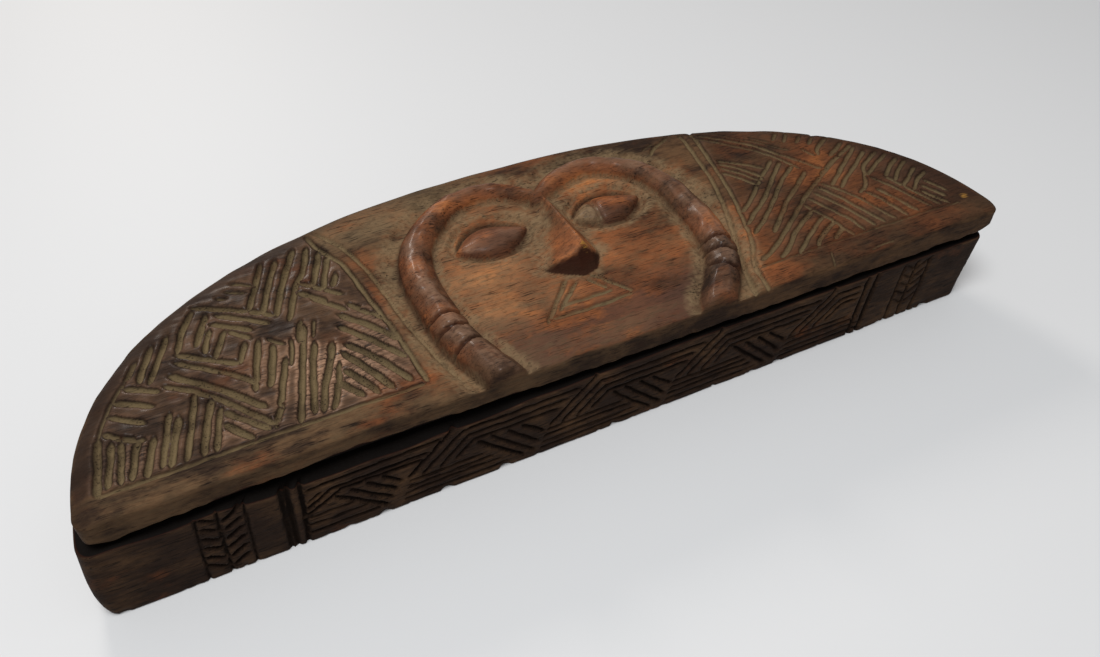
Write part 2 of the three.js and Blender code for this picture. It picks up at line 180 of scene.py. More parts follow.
def lattice(ring, pitchX, pitchY, margin):
    # square cells well inside the ring, and a strip of triangles from them out to the ring
    ring = ring[:, :2]
    back = ring[:backCount][::-1]
    straight = ring[backCount:]
    front = straight[:, 1].min()
    xs = np.arange(ring[:, 0].min(), ring[:, 0].max(), pitchX)
    lowest = np.interp(xs, straight[:, 0], straight[:, 1])
    ys = np.arange(front + margin, ring[:, 1].max(), pitchY)
    room = np.min([np.interp(xs + step, back[:, 0], back[:, 1], left=front, right=front)
                   for step in (-margin, 0, margin)], axis=0) - margin
    cut = np.maximum(straight[0, 0] - xs, xs - straight[-1, 0])
    inside = (ys[:, None] < room) & (ys[:, None] > lowest + 1.5 * margin + cut)
    kept = inside[1:, 1:] & inside[:-1, 1:] & inside[1:, :-1] & inside[:-1, :-1]
    used = np.zeros(inside.shape, bool)
    for down in (0, 1):
        for right in (0, 1):
            used[down:down + kept.shape[0], right:right + kept.shape[1]] |= kept
    number = np.full(used.shape, -1)
    number[used] = np.arange(used.sum())
    gridX, gridY = np.meshgrid(xs, ys)
    points = np.stack([gridX[used], gridY[used]], axis=1)

    def numbered(cells, *steps):
        rows, columns = np.nonzero(cells)
        return np.stack([number[rows + down, columns + right] for down, right in steps], axis=1)

    quads = numbered(kept, (0, 0), (0, 1), (1, 1), (1, 0))
    padded = np.pad(kept, 1)
    edges = np.vstack([numbered(padded[1:-1, 1:] != padded[1:-1, :-1], (0, 0), (1, 0)),
                       numbered(padded[1:, 1:-1] != padded[:-1, 1:-1], (0, 0), (0, 1))])
    rim = np.unique(edges)
    place = {int(v): i for i, v in enumerate(rim)}
    corners = [Vector(points[v]) for v in rim] + [Vector(p) for p in ring]
    links = [(place[int(a)], place[int(b)]) for a, b in edges]
    links += [(len(rim) + i, len(rim) + (i + 1) % len(ring)) for i in range(len(ring))]
    made = delaunay_2d_cdt(corners, links, [], 0, 1e-7, True)
    origins = [sources[0] for sources in made[3]]
    full = [int(rim[i]) if i < len(rim) else len(points) + i - len(rim) for i in origins]
    flat = np.array([list(v) for v in made[0]])
    triangles = []
    for face in made[2]:
        a, b, c = flat[list(face)]
        middle = (a + b + c) / 3
        row, column = int((middle[1] - ys[0]) // pitchY), int((middle[0] - xs[0]) // pitchX)
        if 0 <= row < kept.shape[0] and 0 <= column < kept.shape[1] and kept[row, column]:
            continue
        turn = (b - a)[0] * (c - a)[1] - (b - a)[1] * (c - a)[0]
        if abs(turn) < 1e-9:
            continue
        triangles.append([full[i] for i in (face if turn > 0 else face[::-1])])
    return points, quads, np.array(triangles), used


def closedShell(rings, topPitch, footPitch, margin):
    # rings from the foot up, closed by a lattice at each end; the top lattice's points come first
    top, topQuads, topTriangles, used = lattice(rings[-1], *topPitch, margin)
    foot, footQuads, footTriangles, _ = lattice(rings[0], *footPitch, footPitch[0])
    count = len(rings[0])
    ringStart = len(top)
    footStart = ringStart + count * len(rings)
    points = [np.column_stack([top, np.full(len(top), rings[-1][0, 2])])]
    points += rings
    points.append(np.column_stack([foot, np.full(len(foot), rings[0][0, 2])]))
    lastRing = ringStart + count * (len(rings) - 1)
    corner = np.arange(count)
    following = (corner + 1) % count
    quads = [topQuads]
    for level in range(len(rings) - 1):
        low, high = ringStart + level * count, ringStart + (level + 1) * count
        quads.append(np.stack([low + corner, low + following, high + following, high + corner], axis=1))
    topTriangles = np.where(topTriangles < len(top), topTriangles, topTriangles - len(top) + lastRing)
    footQuads = footQuads[:, ::-1] + footStart
    footTriangles = np.where(footTriangles < len(foot), footTriangles + footStart,
                             footTriangles - len(foot) + ringStart)[:, ::-1]
    quads.append(footQuads)
    return {
        "points": np.vstack(points),
        "quads": np.vstack(quads),
        "triangles": np.vstack([topTriangles, footTriangles]),
        "topCount": len(top),
        "ringStart": ringStart,
        "ringCount": count,
        "levels": len(rings),
        "used": used,
    }


def addAttribute(mesh, title, values):
    data = mesh.attributes.new(title, "FLOAT", "POINT").data
    data.foreach_set("value", np.asarray(values, np.float32))


def addObject(name, data):
    made = bpy.data.objects.new(name, data)
    bpy.context.scene.collection.objects.link(made)
    return made


def meshFrom(name, shell, attributes):
    # millimetres from the front edge become metres in the frame
    points = (shell["points"] + [0, frontShift, 0]) * mm
    quads, triangles = shell["quads"], shell["triangles"]
    mesh = bpy.data.meshes.new(name)
    mesh.vertices.add(len(points))
    mesh.vertices.foreach_set("co", points.astype(np.float32).ravel())
    mesh.loops.add(quads.size + triangles.size)
    corners = np.concatenate([quads.ravel(), triangles.ravel()])
    mesh.loops.foreach_set("vertex_index", corners.astype(np.int32))
    mesh.polygons.add(len(quads) + len(triangles))
    starts = np.concatenate([np.arange(len(quads)) * 4, len(quads) * 4 + np.arange(len(triangles)) * 3])
    mesh.polygons.foreach_set("loop_start", starts.astype(np.int32))
    mesh.update(calc_edges=True)
    mesh.validate()
    mesh.polygons.foreach_set("use_smooth", np.ones(len(mesh.polygons), bool))
    for title, values in attributes.items():
        addAttribute(mesh, title, values)
    return addObject(name, mesh)


# one socket of a node, so that maths on it reads as maths
class Wire:
    def __init__(self, sheet, socket):
        self.sheet = sheet
        self.socket = socket

    def maths(self, operation, *values):
        return self.sheet.node("ShaderNodeMath", {"operation": operation}, values)

    def __add__(self, other):
        return self.maths("ADD", self, other)

    def __radd__(self, other):
        return self.maths("ADD", other, self)

    def __sub__(self, other):
        return self.maths("SUBTRACT", self, other)

    def __rsub__(self, other):
        return self.maths("SUBTRACT", other, self)

    def __mul__(self, other):
        return self.maths("MULTIPLY", self, other)

    def __rmul__(self, other):
        return self.maths("MULTIPLY", other, self)

    def __truediv__(self, other):
        return self.maths("DIVIDE", self, other)

    def __rtruediv__(self, other):
        return self.maths("DIVIDE", other, self)


# a node tree, in which every node is made by one call
class Sheet:
    def __init__(self, tree):
        self.tree = tree

    def node(self, kind, settings=None, values=(), out=0):
        made = self.tree.nodes.new(kind)
        for key, value in (settings or {}).items():
            setattr(made, key, value)
        pairs = values.items() if isinstance(values, dict) else enumerate(values)
        for key, value in pairs:
            self.feed(made.inputs[key], value)
        return Wire(self, made.outputs[out])

    def feed(self, socket, value):
        if isinstance(value, Wire):
            self.tree.links.new(value.socket, socket)
        else:
            socket.default_value = value

    def vector(self, operation, values):
        return self.node("ShaderNodeVectorMath", {"operation": operation}, values)

    def blend(self, share, first, second):
        # one colour into another
        return self.node("ShaderNodeMix", {"data_type": "RGBA"}, {0: share, 6: first, 7: second}, 2)

    def ramp(self, value, low, high, shape="SMOOTHSTEP"):
        # 0 below low, 1 above high
        settings = {"interpolation_type": shape}
        return self.node("ShaderNodeMapRange", settings, {0: value, 1: low, 2: high, 3: 0.0, 4: 1.0})


def colour(red, green, blue):
    # a colour as it is seen, 0 to 255, made linear
    def linear(level):
        level = level / 255
        return level / 12.92 if level < 0.04045 else ((level + 0.055) / 1.055) ** 2.4
    return (linear(red), linear(green), linear(blue), 1.0)


# Grooves. A stroke is a run of corners from where the gouge goes in to where it comes out, with a
# width and a depth. A fan is a row of strokes drawn between its first and its last one.
groove = {
    "pitch": 0.5,  # spacing of the points along a stroke
    "taper": 0.7,  # run over which its end rises to the surface, as a share of its width
    "endWidth": 0.6,  # what its end keeps of the width
    "endDepth": 0.2,  # and of the depth
    "widthSpread": (0.92, 1.1),  # how strokes differ from each other
    "depthSpread": (0.85, 1.12),
    "bow": 0.25,  # how far a stroke bows from its line
    "sway": (0.07, 0.8),  # how far it strays from side to side, and how often
    "swell": (0.07, 0.6),  # the same for its width
    "raggedScale": 420.0,
    "seed": 11,
}


def strokes(width, depth, *rows):
    # each row is x, y, x, y and so on
    return [(np.array(row, float).reshape(-1, 2), width, depth) for row in rows]


def softStrokes(width, depth, rows, longer):
    # smooth ones, a little longer at both ends than their corners say
    made = []
    for corners, _, _ in strokes(width, depth, *rows):
        for end, beside in ((0, 1), (-1, -2)):
            outward = corners[end] - corners[beside]
            corners[end] += longer * outward / np.linalg.norm(outward)
        made.append((splineThrough(corners, 10), width, depth))
    return made


def fan(width, depth, count, first, last):
    first, last = np.array(first, float), np.array(last, float)
    return strokes(width, depth, *[first + (last - first) * step for step in np.linspace(0, 1, count)])


def strokeObject(name, lines, place):
    # every stroke as a chain of points that carry their width and depth
    rng = random.Random(groove["seed"])
    points, edges, widths, depths = [], [], [], []
    sway, swayRate = groove["sway"]
    swell, swellRate = groove["swell"]
    for line, width, depth in lines:
        chain = alongCurve(line, groove["pitch"])
        runs = np.arange(len(chain)) * np.linalg.norm(chain[1] - chain[0])
        rise = np.clip(np.minimum(runs, runs[-1] - runs) / (groove["taper"] * width), 0, 1)
        along = (chain[-1] - chain[0]) / np.linalg.norm(chain[-1] - chain[0])
        phase = rng.uniform(0, 6.28)
        bow = rng.uniform(-1, 1) * groove["bow"] * np.sin(math.pi * runs / runs[-1])
        stray = bow + sway * np.sin(runs * swayRate + phase)
        chain = chain + np.outer(stray, [-along[1], along[0]])
        start = len(points)
        points += [place(x, y) for x, y in chain]
        edges += [(start + i, start + i + 1) for i in range(len(chain) - 1)]
        uneven = 1 + swell * np.sin(runs * swellRate + 2 * phase)
        width *= rng.uniform(*groove["widthSpread"])
        depth *= rng.uniform(*groove["depthSpread"])
        widths += list(width * (groove["endWidth"] + (1 - groove["endWidth"]) * rise) * uneven)
        depths += list(depth * (groove["endDepth"] + (1 - groove["endDepth"]) * rise))
    mesh = bpy.data.meshes.new(name)
    mesh.from_pydata([tuple(mm * v for v in p) for p in points], edges, [])
    addAttribute(mesh, "width", np.array(widths) * mm)
    addAttribute(mesh, "depth", np.array(depths) * mm)
    made = addObject(name, mesh)
    made.hide_render = True
    return made


def grooveTree():
    # sinks a mesh along every stroke of another object, and keeps how deep as an attribute
    tree = bpy.data.node_groups.new("grooveCutting", "GeometryNodeTree")
    inputs = {"Geometry": "Geometry", "Strokes": "Object", "Plane": "Vector", "Push": "Vector",
              "Raggedness": "Float", "Flat Bottom": "Float", "Seed": "Float", "Material": "Material"}
    for title, kind in inputs.items():
        tree.interface.new_socket(title, in_out="INPUT", socket_type="NodeSocket" + kind)
    tree.interface.new_socket("Geometry", in_out="OUTPUT", socket_type="NodeSocketGeometry")
    sheet = Sheet(tree)
    given = tree.nodes.new("NodeGroupInput")
    take = {title: Wire(sheet, given.outputs[title]) for title in inputs}
    lines = sheet.node("GeometryNodeObjectInfo", {"transform_space": "RELATIVE"},
                       {"Object": take["Strokes"]}, "Geometry")
    flat = sheet.vector("MULTIPLY", (sheet.node("GeometryNodeInputPosition"), take["Plane"]))
    grain = sheet.node("ShaderNodeTexNoise", {"noise_dimensions": "4D"},
                       {"Vector": flat, "W": take["Seed"], "Scale": groove["raggedScale"], "Detail": 1.0}, 1)
    centred = sheet.vector("SUBTRACT", (grain, (0.5, 0.5, 0.5)))
    ragged = sheet.vector("SCALE", {0: centred, "Scale": take["Raggedness"]})
    query = sheet.vector("ADD", (flat, sheet.vector("MULTIPLY", (ragged, take["Plane"]))))
    distance = sheet.node("GeometryNodeProximity", {"target_element": "EDGES"},
                          {"Geometry": lines, "Sample Position": query}, "Distance")
    index = sheet.node("GeometryNodeSampleNearest", {"domain": "POINT"},
                       {"Geometry": lines, "Sample Position": query}, "Index")

    def stored(title):
        return sheet.node("GeometryNodeInputNamedAttribute", {"data_type": "FLOAT"}, {"Name": title})

    def carried(title):
        return sheet.node("GeometryNodeSampleIndex", {"data_type": "FLOAT", "domain": "POINT"},
                          {"Geometry": lines, "Value": stored(title), "Index": index})

    cut = 1 - sheet.ramp(distance * 2 / carried("width"), take["Flat Bottom"], 1.0, "LINEAR")
    depth = cut * carried("depth") * stored("cuttable")
    kept = sheet.node("GeometryNodeStoreNamedAttribute", {"data_type": "FLOAT", "domain": "POINT"},
                      {"Geometry": take["Geometry"], "Name": "groove", "Value": depth})
    push = sheet.vector("SCALE", {0: take["Push"], "Scale": depth})
    moved = sheet.node("GeometryNodeSetPosition", {}, {"Geometry": kept, "Offset": push})
    whole = sheet.node("GeometryNodeRealizeInstances", {}, {"Geometry": moved})
    done = sheet.node("GeometryNodeSetMaterial", {}, {"Geometry": whole, "Material": take["Material"]})
    tree.links.new(done.socket, tree.nodes.new("NodeGroupOutput").inputs[0])
    return tree


grooveCutting = grooveTree()


def cutGrooves(piece, lines, values):
    # the carved result as a plain mesh, with the modifier and the strokes gone
    modifier = piece.modifiers.new("grooves", "NODES")
    modifier.node_group = grooveCutting
    items = grooveCutting.interface.items_tree
    sockets = {item.name: item.identifier for item in items if item.in_out == "INPUT"}
    modifier[sockets["Strokes"]] = lines
    for title, value in values.items():
        modifier[sockets[title]] = value
    bpy.context.view_layer.update()
    depsgraph = bpy.context.evaluated_depsgraph_get()
    carved = bpy.data.meshes.new_from_object(piece.evaluated_get(depsgraph), depsgraph=depsgraph)
    plain, lineMesh = piece.data, lines.data
    piece.modifiers.clear()
    piece.data = carved
    carved.name = plain.name + "Carved"
    bpy.data.objects.remove(lines)
    for used in (plain, lineMesh):
        bpy.data.meshes.remove(used)


# Lid: a board with the plug under it, and the face that stands up from it.
lid = {
    "seatZ": lidLow[2] + 5.3,  # underside of the board, over the plug and the rim's gap
    "boardTop": 37.0,
    "edgeGap": 1.6,
    "edgeBevel": 3.5,
    "edgeRings": 9,
    "footRound": 0.8,
    "edgeDrops": (1.9, 1.2, 0.5),  # how far the back edge falls off: left end, middle, right end
    "edgeFall": 7.5,  # over what width it falls
    "frontDrop": 0.9,
    "frontFall": 2.0,
    "plugInset": 9.8,
    "plugPlay": (0.6, 0.4),  # how much more room the plug has at the right and the back
    "plugChamfer": 1.0,
    "plugRings": 3,  # rings of the plug, and of the bevel over it
    "bevelRings": 2,
    "topPitch": (0.5, 0.57),
    "footPitch": (3.5, 3.5),
    "margin": 0.9,
    "wornTip": (143, 152),  # x over which the foot of the right tip is worn away
    "tipWear": 2.2,
}

# the gap at the left half of the front, where the board's edge, its bevel and the body's rim are worn
gap = {
    "boardAt": (-75, 46),  # the middle of the wear and its reach, in x
    "boardRise": 2.9,
    "bevelRise": 1.9,
    "bevelEnd": 4,  # how far back the bevel is worn
    "rimAt": (-80, 52),
    "rimDrop": 2.3,
}

face = {
    "pathPitch": 0.3,
    "ridgeHalfWidth": 5.9,
    "ridgeHeight": 4.7,
    "ridgeSink": 0.3,
    "leftRidge": [(7.6, 71.6), (5.4, 74.4), (1, 77.5), (-9.6, 82), (-23.4, 78.6), (-36.1, 67.1),
                  (-41.7, 56.8), (-43.8, 45), (-43.4, 30), (-41.6, 16), (-36.1, 0.5), (-35.3, -2.6)],
    "rightRidge": [(7.4, 70.2), (11.6, 73.6), (18.8, 78), (31.1, 81), (41.5, 76.4), (48.9, 67.5),
                   (52.4, 56.9), (53.0, 45), (51.6, 30), (47.4, 16), (35.6, 0.5), (34, -2.6)],
    "ridgeSizes": [(0, 0.5), (0.12, 0.74), (0.3, 0.82), (0.5, 0.94), (0.7, 1), (1, 1)],
    "collars": [0.748, 0.795, 0.857],  # where the ring grooves are, as shares of a ridge's length
    "collarWidth": 1.2,
    "collarDepth": 1.5,
    "facetsFrom": (0.87, 0.9),  # below its rings a ridge is cut in two flat facets
    "moatDepth": 1.7,
    "moatWidth": 7.0,
    "innerMoatDepth": 1.0,
    "innerMoatWidth": 3.4,
    # middle, half length, half height and tilt of each eye
    "eyes": [(-14.9, 57.6, 13.6, 8.3, 6.0), (27.6, 57.2, 13.8, 8.2, 6.0)],
    "socketDepth": 2.0,
    "eyeHeight": 3.6,
    "lidLine": 0.8,
    "lidFold": 1.3,
    "notch": [(25, 64), (23.6, 58), (22.6, 51)],  # a cut across the right eye
    "notchReach": 1.1,
    "notchDepth": 1.1,
}

nose = {
    "bridge": (9.2, 71.0),
    "bridgeHeight": 2.7,
    "tip": (7.1, 34.4),
    "tipHeight": 7.4,
    "leftFoot": [(6.6, 70), (5.0, 64), (-1.8, 49), (-8.4, 35.8)],
    "rightFoot": [(12.2, 70), (12.8, 64), (13.6, 49), (13.9, 36.4)],
    "frontFoot": [(-10, 37.6), (-8.4, 36.2), (-2, 32.4), (4, 29.2), (9.5, 30.6), (13.8, 36.4), (15, 37.5)],
    "frontSlope": 1.3,
    "flankCurves": (1.8, 1.0),  # how hollow the flanks are, at the bridge and at the tip
}

# How the lid's wood is worn and coloured, and where shade and highlights are painted on it. Pairs are
# from where to where a change runs, places are (place, reach, strength), and the other numbers are strengths.
wearAndPaintedLight = {
    "bandEnd": (6.5, 8.5),  # where the flat band along the front ends, in y
    # where the panels meet the lines beside the face: y values, then their x values
    "leftEdge": [(8, 42, 52, 63.4, 73.4, 87), (-56, -57.9, -59.3, -61.4, -65, -69.6)],
    "rightEdge": [(0.6, 29.1, 49.1, 67, 87), (53.7, 65.9, 71.6, 75.9, 79.2)],
    "innerDust": (1.0, 7.5),  # beside the ridges, on the face
    "outerDust": (3.0, 12),  # and outside it
    "noseDust": (0, 9),
    "bandDust": 0.36,
    "dustyLeft": (0, 60),  # where the dusty left half ends, in x
    "dullEye": (21.5, 24.5),  # the left end of the right eye is duller, up to here
    "faceRed": 0.66,
    "boardRed": 0.42,
    "ridgeRed": 0.54,
    "panelReds": (0.2, 0.54),
    "panelDims": (0.36, 0.44),
    "hollows": [(0.9, 0.8, 0.6), (3.0, 1.6, 0.4)],  # reach, depth that counts as full, share
    "rimWidth": (1.5, 9),  # along the board's back edge
    "darkRimFrom": (50, 75),  # where it is darkest, in -x
    # how far the side walls and the underside are darkened, as painted shade
    "sideShade": 0.45,
    "ridgeLow": (-30, -14),  # where the ridges' lower ends begin, in -y
    "chin": (-28, -10),
    "reddened": [((33, 29), (14, 9), 0.12), ((-25, 35), (10, 12), 0.15)],
    "holes": [((-134.9, 23.4), 0.6, 1)],
    "rubbed": [((7.4, 35.6), 1.5, 1), ((10.4, 38.4), 1.3, 1), ((145.2, 9.4), 1.6, 1)],  # rubbed yellow
    # painted highlights: spots where crests, eyes and ridges are lightened as if catching light
    "paintedGleamSpots": [((-78, 24), (20, 18), 1.0), ((-108, 14), (8, 7), 0.5), ((-133, 14), (8, 9), 0.3),
               ((-16, 59), (6, 1.6), 0.8), ((-23, 55), (3, 1.2), 0.5), ((30, 59), (6, 1.4), 0.4),
               ((-43.5, 44), (3, 20), 0.4), ((-41.5, 22), (4, 9), 0.4), ((-37.5, 6), (4, 7), 0.3),
               ((48.5, 70), (5, 7), 0.35), ((53, 42), (2.5, 12), 0.25), ((49, 12), (2.5, 9), 0.35),
               ((-30, 74), (9, 5), 0.25), ((26, 81), (10, 3), 0.25)],
}


def ridgeHeights(points, corners):
    # height over the board, how far outside the ridge a point lies, and how far in a ring groove
    path = alongCurve(splineThrough(corners), face["pathPitch"])
    distance, index = nearest(points, path)
    place = index / (len(path) - 1)
    length = face["pathPitch"] * (len(path) - 1)
    run = place * length
    halfWidth = face["ridgeHalfWidth"] * np.interp(place, *np.array(face["ridgeSizes"]).T)
    nick = np.zeros(len(points))
    for collar in face["collars"]:
        nick = np.maximum(nick, 1 - smooth(np.abs(run - collar * length), 0.15, face["collarWidth"]))
    reach = distance / halfWidth
    nick *= reach < 1.05
    rounded = 0.55 * np.clip(1 - reach**2.3, 0, 1) ** 0.55 + 0.45 * np.clip(1.25 - 1.25 * reach, 0, 1)
    faceted = np.minimum(np.clip(1.45 - 1.35 * reach, 0, 1) * (reach < 1), 0.97)
    whittled = 0.16 * ripple(np.stack([run, distance], axis=1) * [1, 3], 9, 64)
    lower = smooth(place, *face["facetsFrom"])
    height = face["ridgeHeight"] * halfWidth / face["ridgeHalfWidth"]
    height = height * (rounded * (1 - lower) + faceted * lower)
    height = height - nick * face["collarDepth"] + whittled * np.clip(height, 0, 1)
    return np.maximum(height, 0), distance - halfWidth, nick


def noseHeights(points):
    # height over the board, how far a point lies on the underside, and how far outside the foot
    x, y = points.T
    bridgeX, bridgeY = nose["bridge"]
    tipX, tipY = nose["tip"]
    down = (bridgeY - y) / (bridgeY - tipY)
    crestX = bridgeX + (tipX - bridgeX) * down
    crestZ = nose["bridgeHeight"] + (nose["tipHeight"] - nose["bridgeHeight"]) * np.clip(down, -0.1, 1.02)
    leftX, rightX = [np.interp(-y, *(np.array(nose[key]) * [1, -1])[:, ::-1].T)
                     for key in ("leftFoot", "rightFoot")]
    leftSide = crestZ * (x - leftX) / (crestX - leftX)
    rightSide = crestZ * (rightX - x) / (rightX - crestX)
    footY = np.interp(x, *np.array(nose["frontFoot"]).T)
    front = nose["frontSlope"] * (y - footY)
    rising = np.clip(front, 0, None) ** 2 / (np.clip(front, 0, None) + 0.9)
    curve = np.interp(down, (0, 1), nose["flankCurves"])
    sides = crestZ * np.clip(np.minimum(leftSide, rightSide) / crestZ, 0, 1) ** curve
    height = np.clip(np.minimum(sides, rising), 0, None) * smooth(down, -0.12, 0.02)
    under = np.clip(sides - rising, 0, None) * smooth(front, -1.6, 0.6) * smooth(sides, 0.1, 0.7)
    out = most(leftX - x, x - rightX, footY - y, y - bridgeY)
    return height, under, np.maximum(out, 0)


def eyeShapes(points):
    # of both eyes: the socket's bowl, the almond in it and the almond's lower half, where shade is
    # painted, the line over it, the band of painted shade under it, and the eyelid's fold
    eye = {key: np.zeros(len(points)) for key in ("almond", "lower", "line", "shadeUnderEye", "fold")}
    eye["bowl"] = np.full(len(points), -9.0)
    for x, y, halfLength, halfHeight, tilt in face["eyes"]:
        turn = math.radians(tilt)
        along = (points - [x, y]) @ [math.cos(turn), math.sin(turn)] / halfLength
        across = (points - [x, y]) @ [-math.sin(turn), math.cos(turn)]
        narrowing = np.clip(1 - along**2, 0, 1)
        half = halfHeight * narrowing
        up = across / np.maximum(half, 1e-3)
        rise = np.where(up > -0.1, 1 - np.abs((up + 0.1) / 1.1) ** 1.7, 1 - np.abs((up + 0.1) / 0.9) ** 2.6)
        rise = np.clip(rise, 0, 1) * (np.abs(up) < 1) * narrowing**0.4
        window = smooth(1 - np.abs(along), -0.05, 0.2)
        shapes = {
            "bowl": 1 - (along / 1.2) ** 2 - ((across - 0.6) / (halfHeight * 1.42)) ** 2,
            "almond": rise,
            "lower": smooth(-across / halfHeight, -0.15, 0.6) * (rise > 0),
            "line": hump(across, half + 0.4, 0.6) * window,
            "shadeUnderEye": hump(across, -half - 0.2, 0.9) * window,
            "fold": hump(across, half + 1.9, 1.3) * window,
        }
        for key, values in shapes.items():
            eye[key] = np.maximum(eye[key], values)
    return eye


def insideLoop(points, loop):
    # counts how often a line to the right crosses the loop
    crossings = np.zeros(len(points), int)
    x, y = points.T
    for (ax, ay), (bx, by) in zip(loop, np.roll(loop, -1, axis=0)):
        if ay != by:
            crossings += ((ay > y) != (by > y)) & (x < ax + (y - ay) / (by - ay) * (bx - ax))
    return crossings % 2 == 1


def lidForm(points):
    # height over the board, and the shapes that make it
    form = eyeShapes(points)
    left, leftOut, leftNick = ridgeHeights(points, face["leftRidge"])
    right, rightOut, rightNick = ridgeHeights(points, face["rightRidge"])
    form["ridge"] = np.maximum(left, right)
    form["outside"] = np.minimum(leftOut, rightOut)
    form["nick"] = np.maximum(leftNick, rightNick)
    form["nose"], form["underside"], form["noseOut"] = noseHeights(points)
    heart = np.vstack([splineThrough(face["leftRidge"])[::-1], splineThrough(face["rightRidge"])])
    form["within"] = insideLoop(points, heart)
    toNotch = nearest(points, splineThrough(face["notch"]))[0]
    form["notch"] = hump(toNotch, 0, face["notchReach"]) * (form["almond"] > 0)

    ridge, outside, within, almond = [form[key] for key in ("ridge", "outside", "within", "almond")]
    moat = np.where(within, face["innerMoatDepth"] * (1 - smooth(outside, 0, face["innerMoatWidth"])),
                    face["moatDepth"] * (1 - smooth(outside, 1.2, face["moatWidth"])))
    ground = -np.maximum(moat, smooth(form["bowl"], 0, 0.35) * face["socketDepth"])
    ground += form["fold"] * face["lidFold"] - form["line"] * face["lidLine"]
    eyes = ground + almond * face["eyeHeight"] - form["notch"] * face["notchDepth"]
    height = np.where(almond > 0, eyes, ground)
    height = np.where(ridge > 0, np.maximum(height, ridge - face["ridgeSink"]), height)
    height = np.where(form["nose"] > 0, np.maximum(height, form["nose"] + ground * 0.4), height)
    return height, form


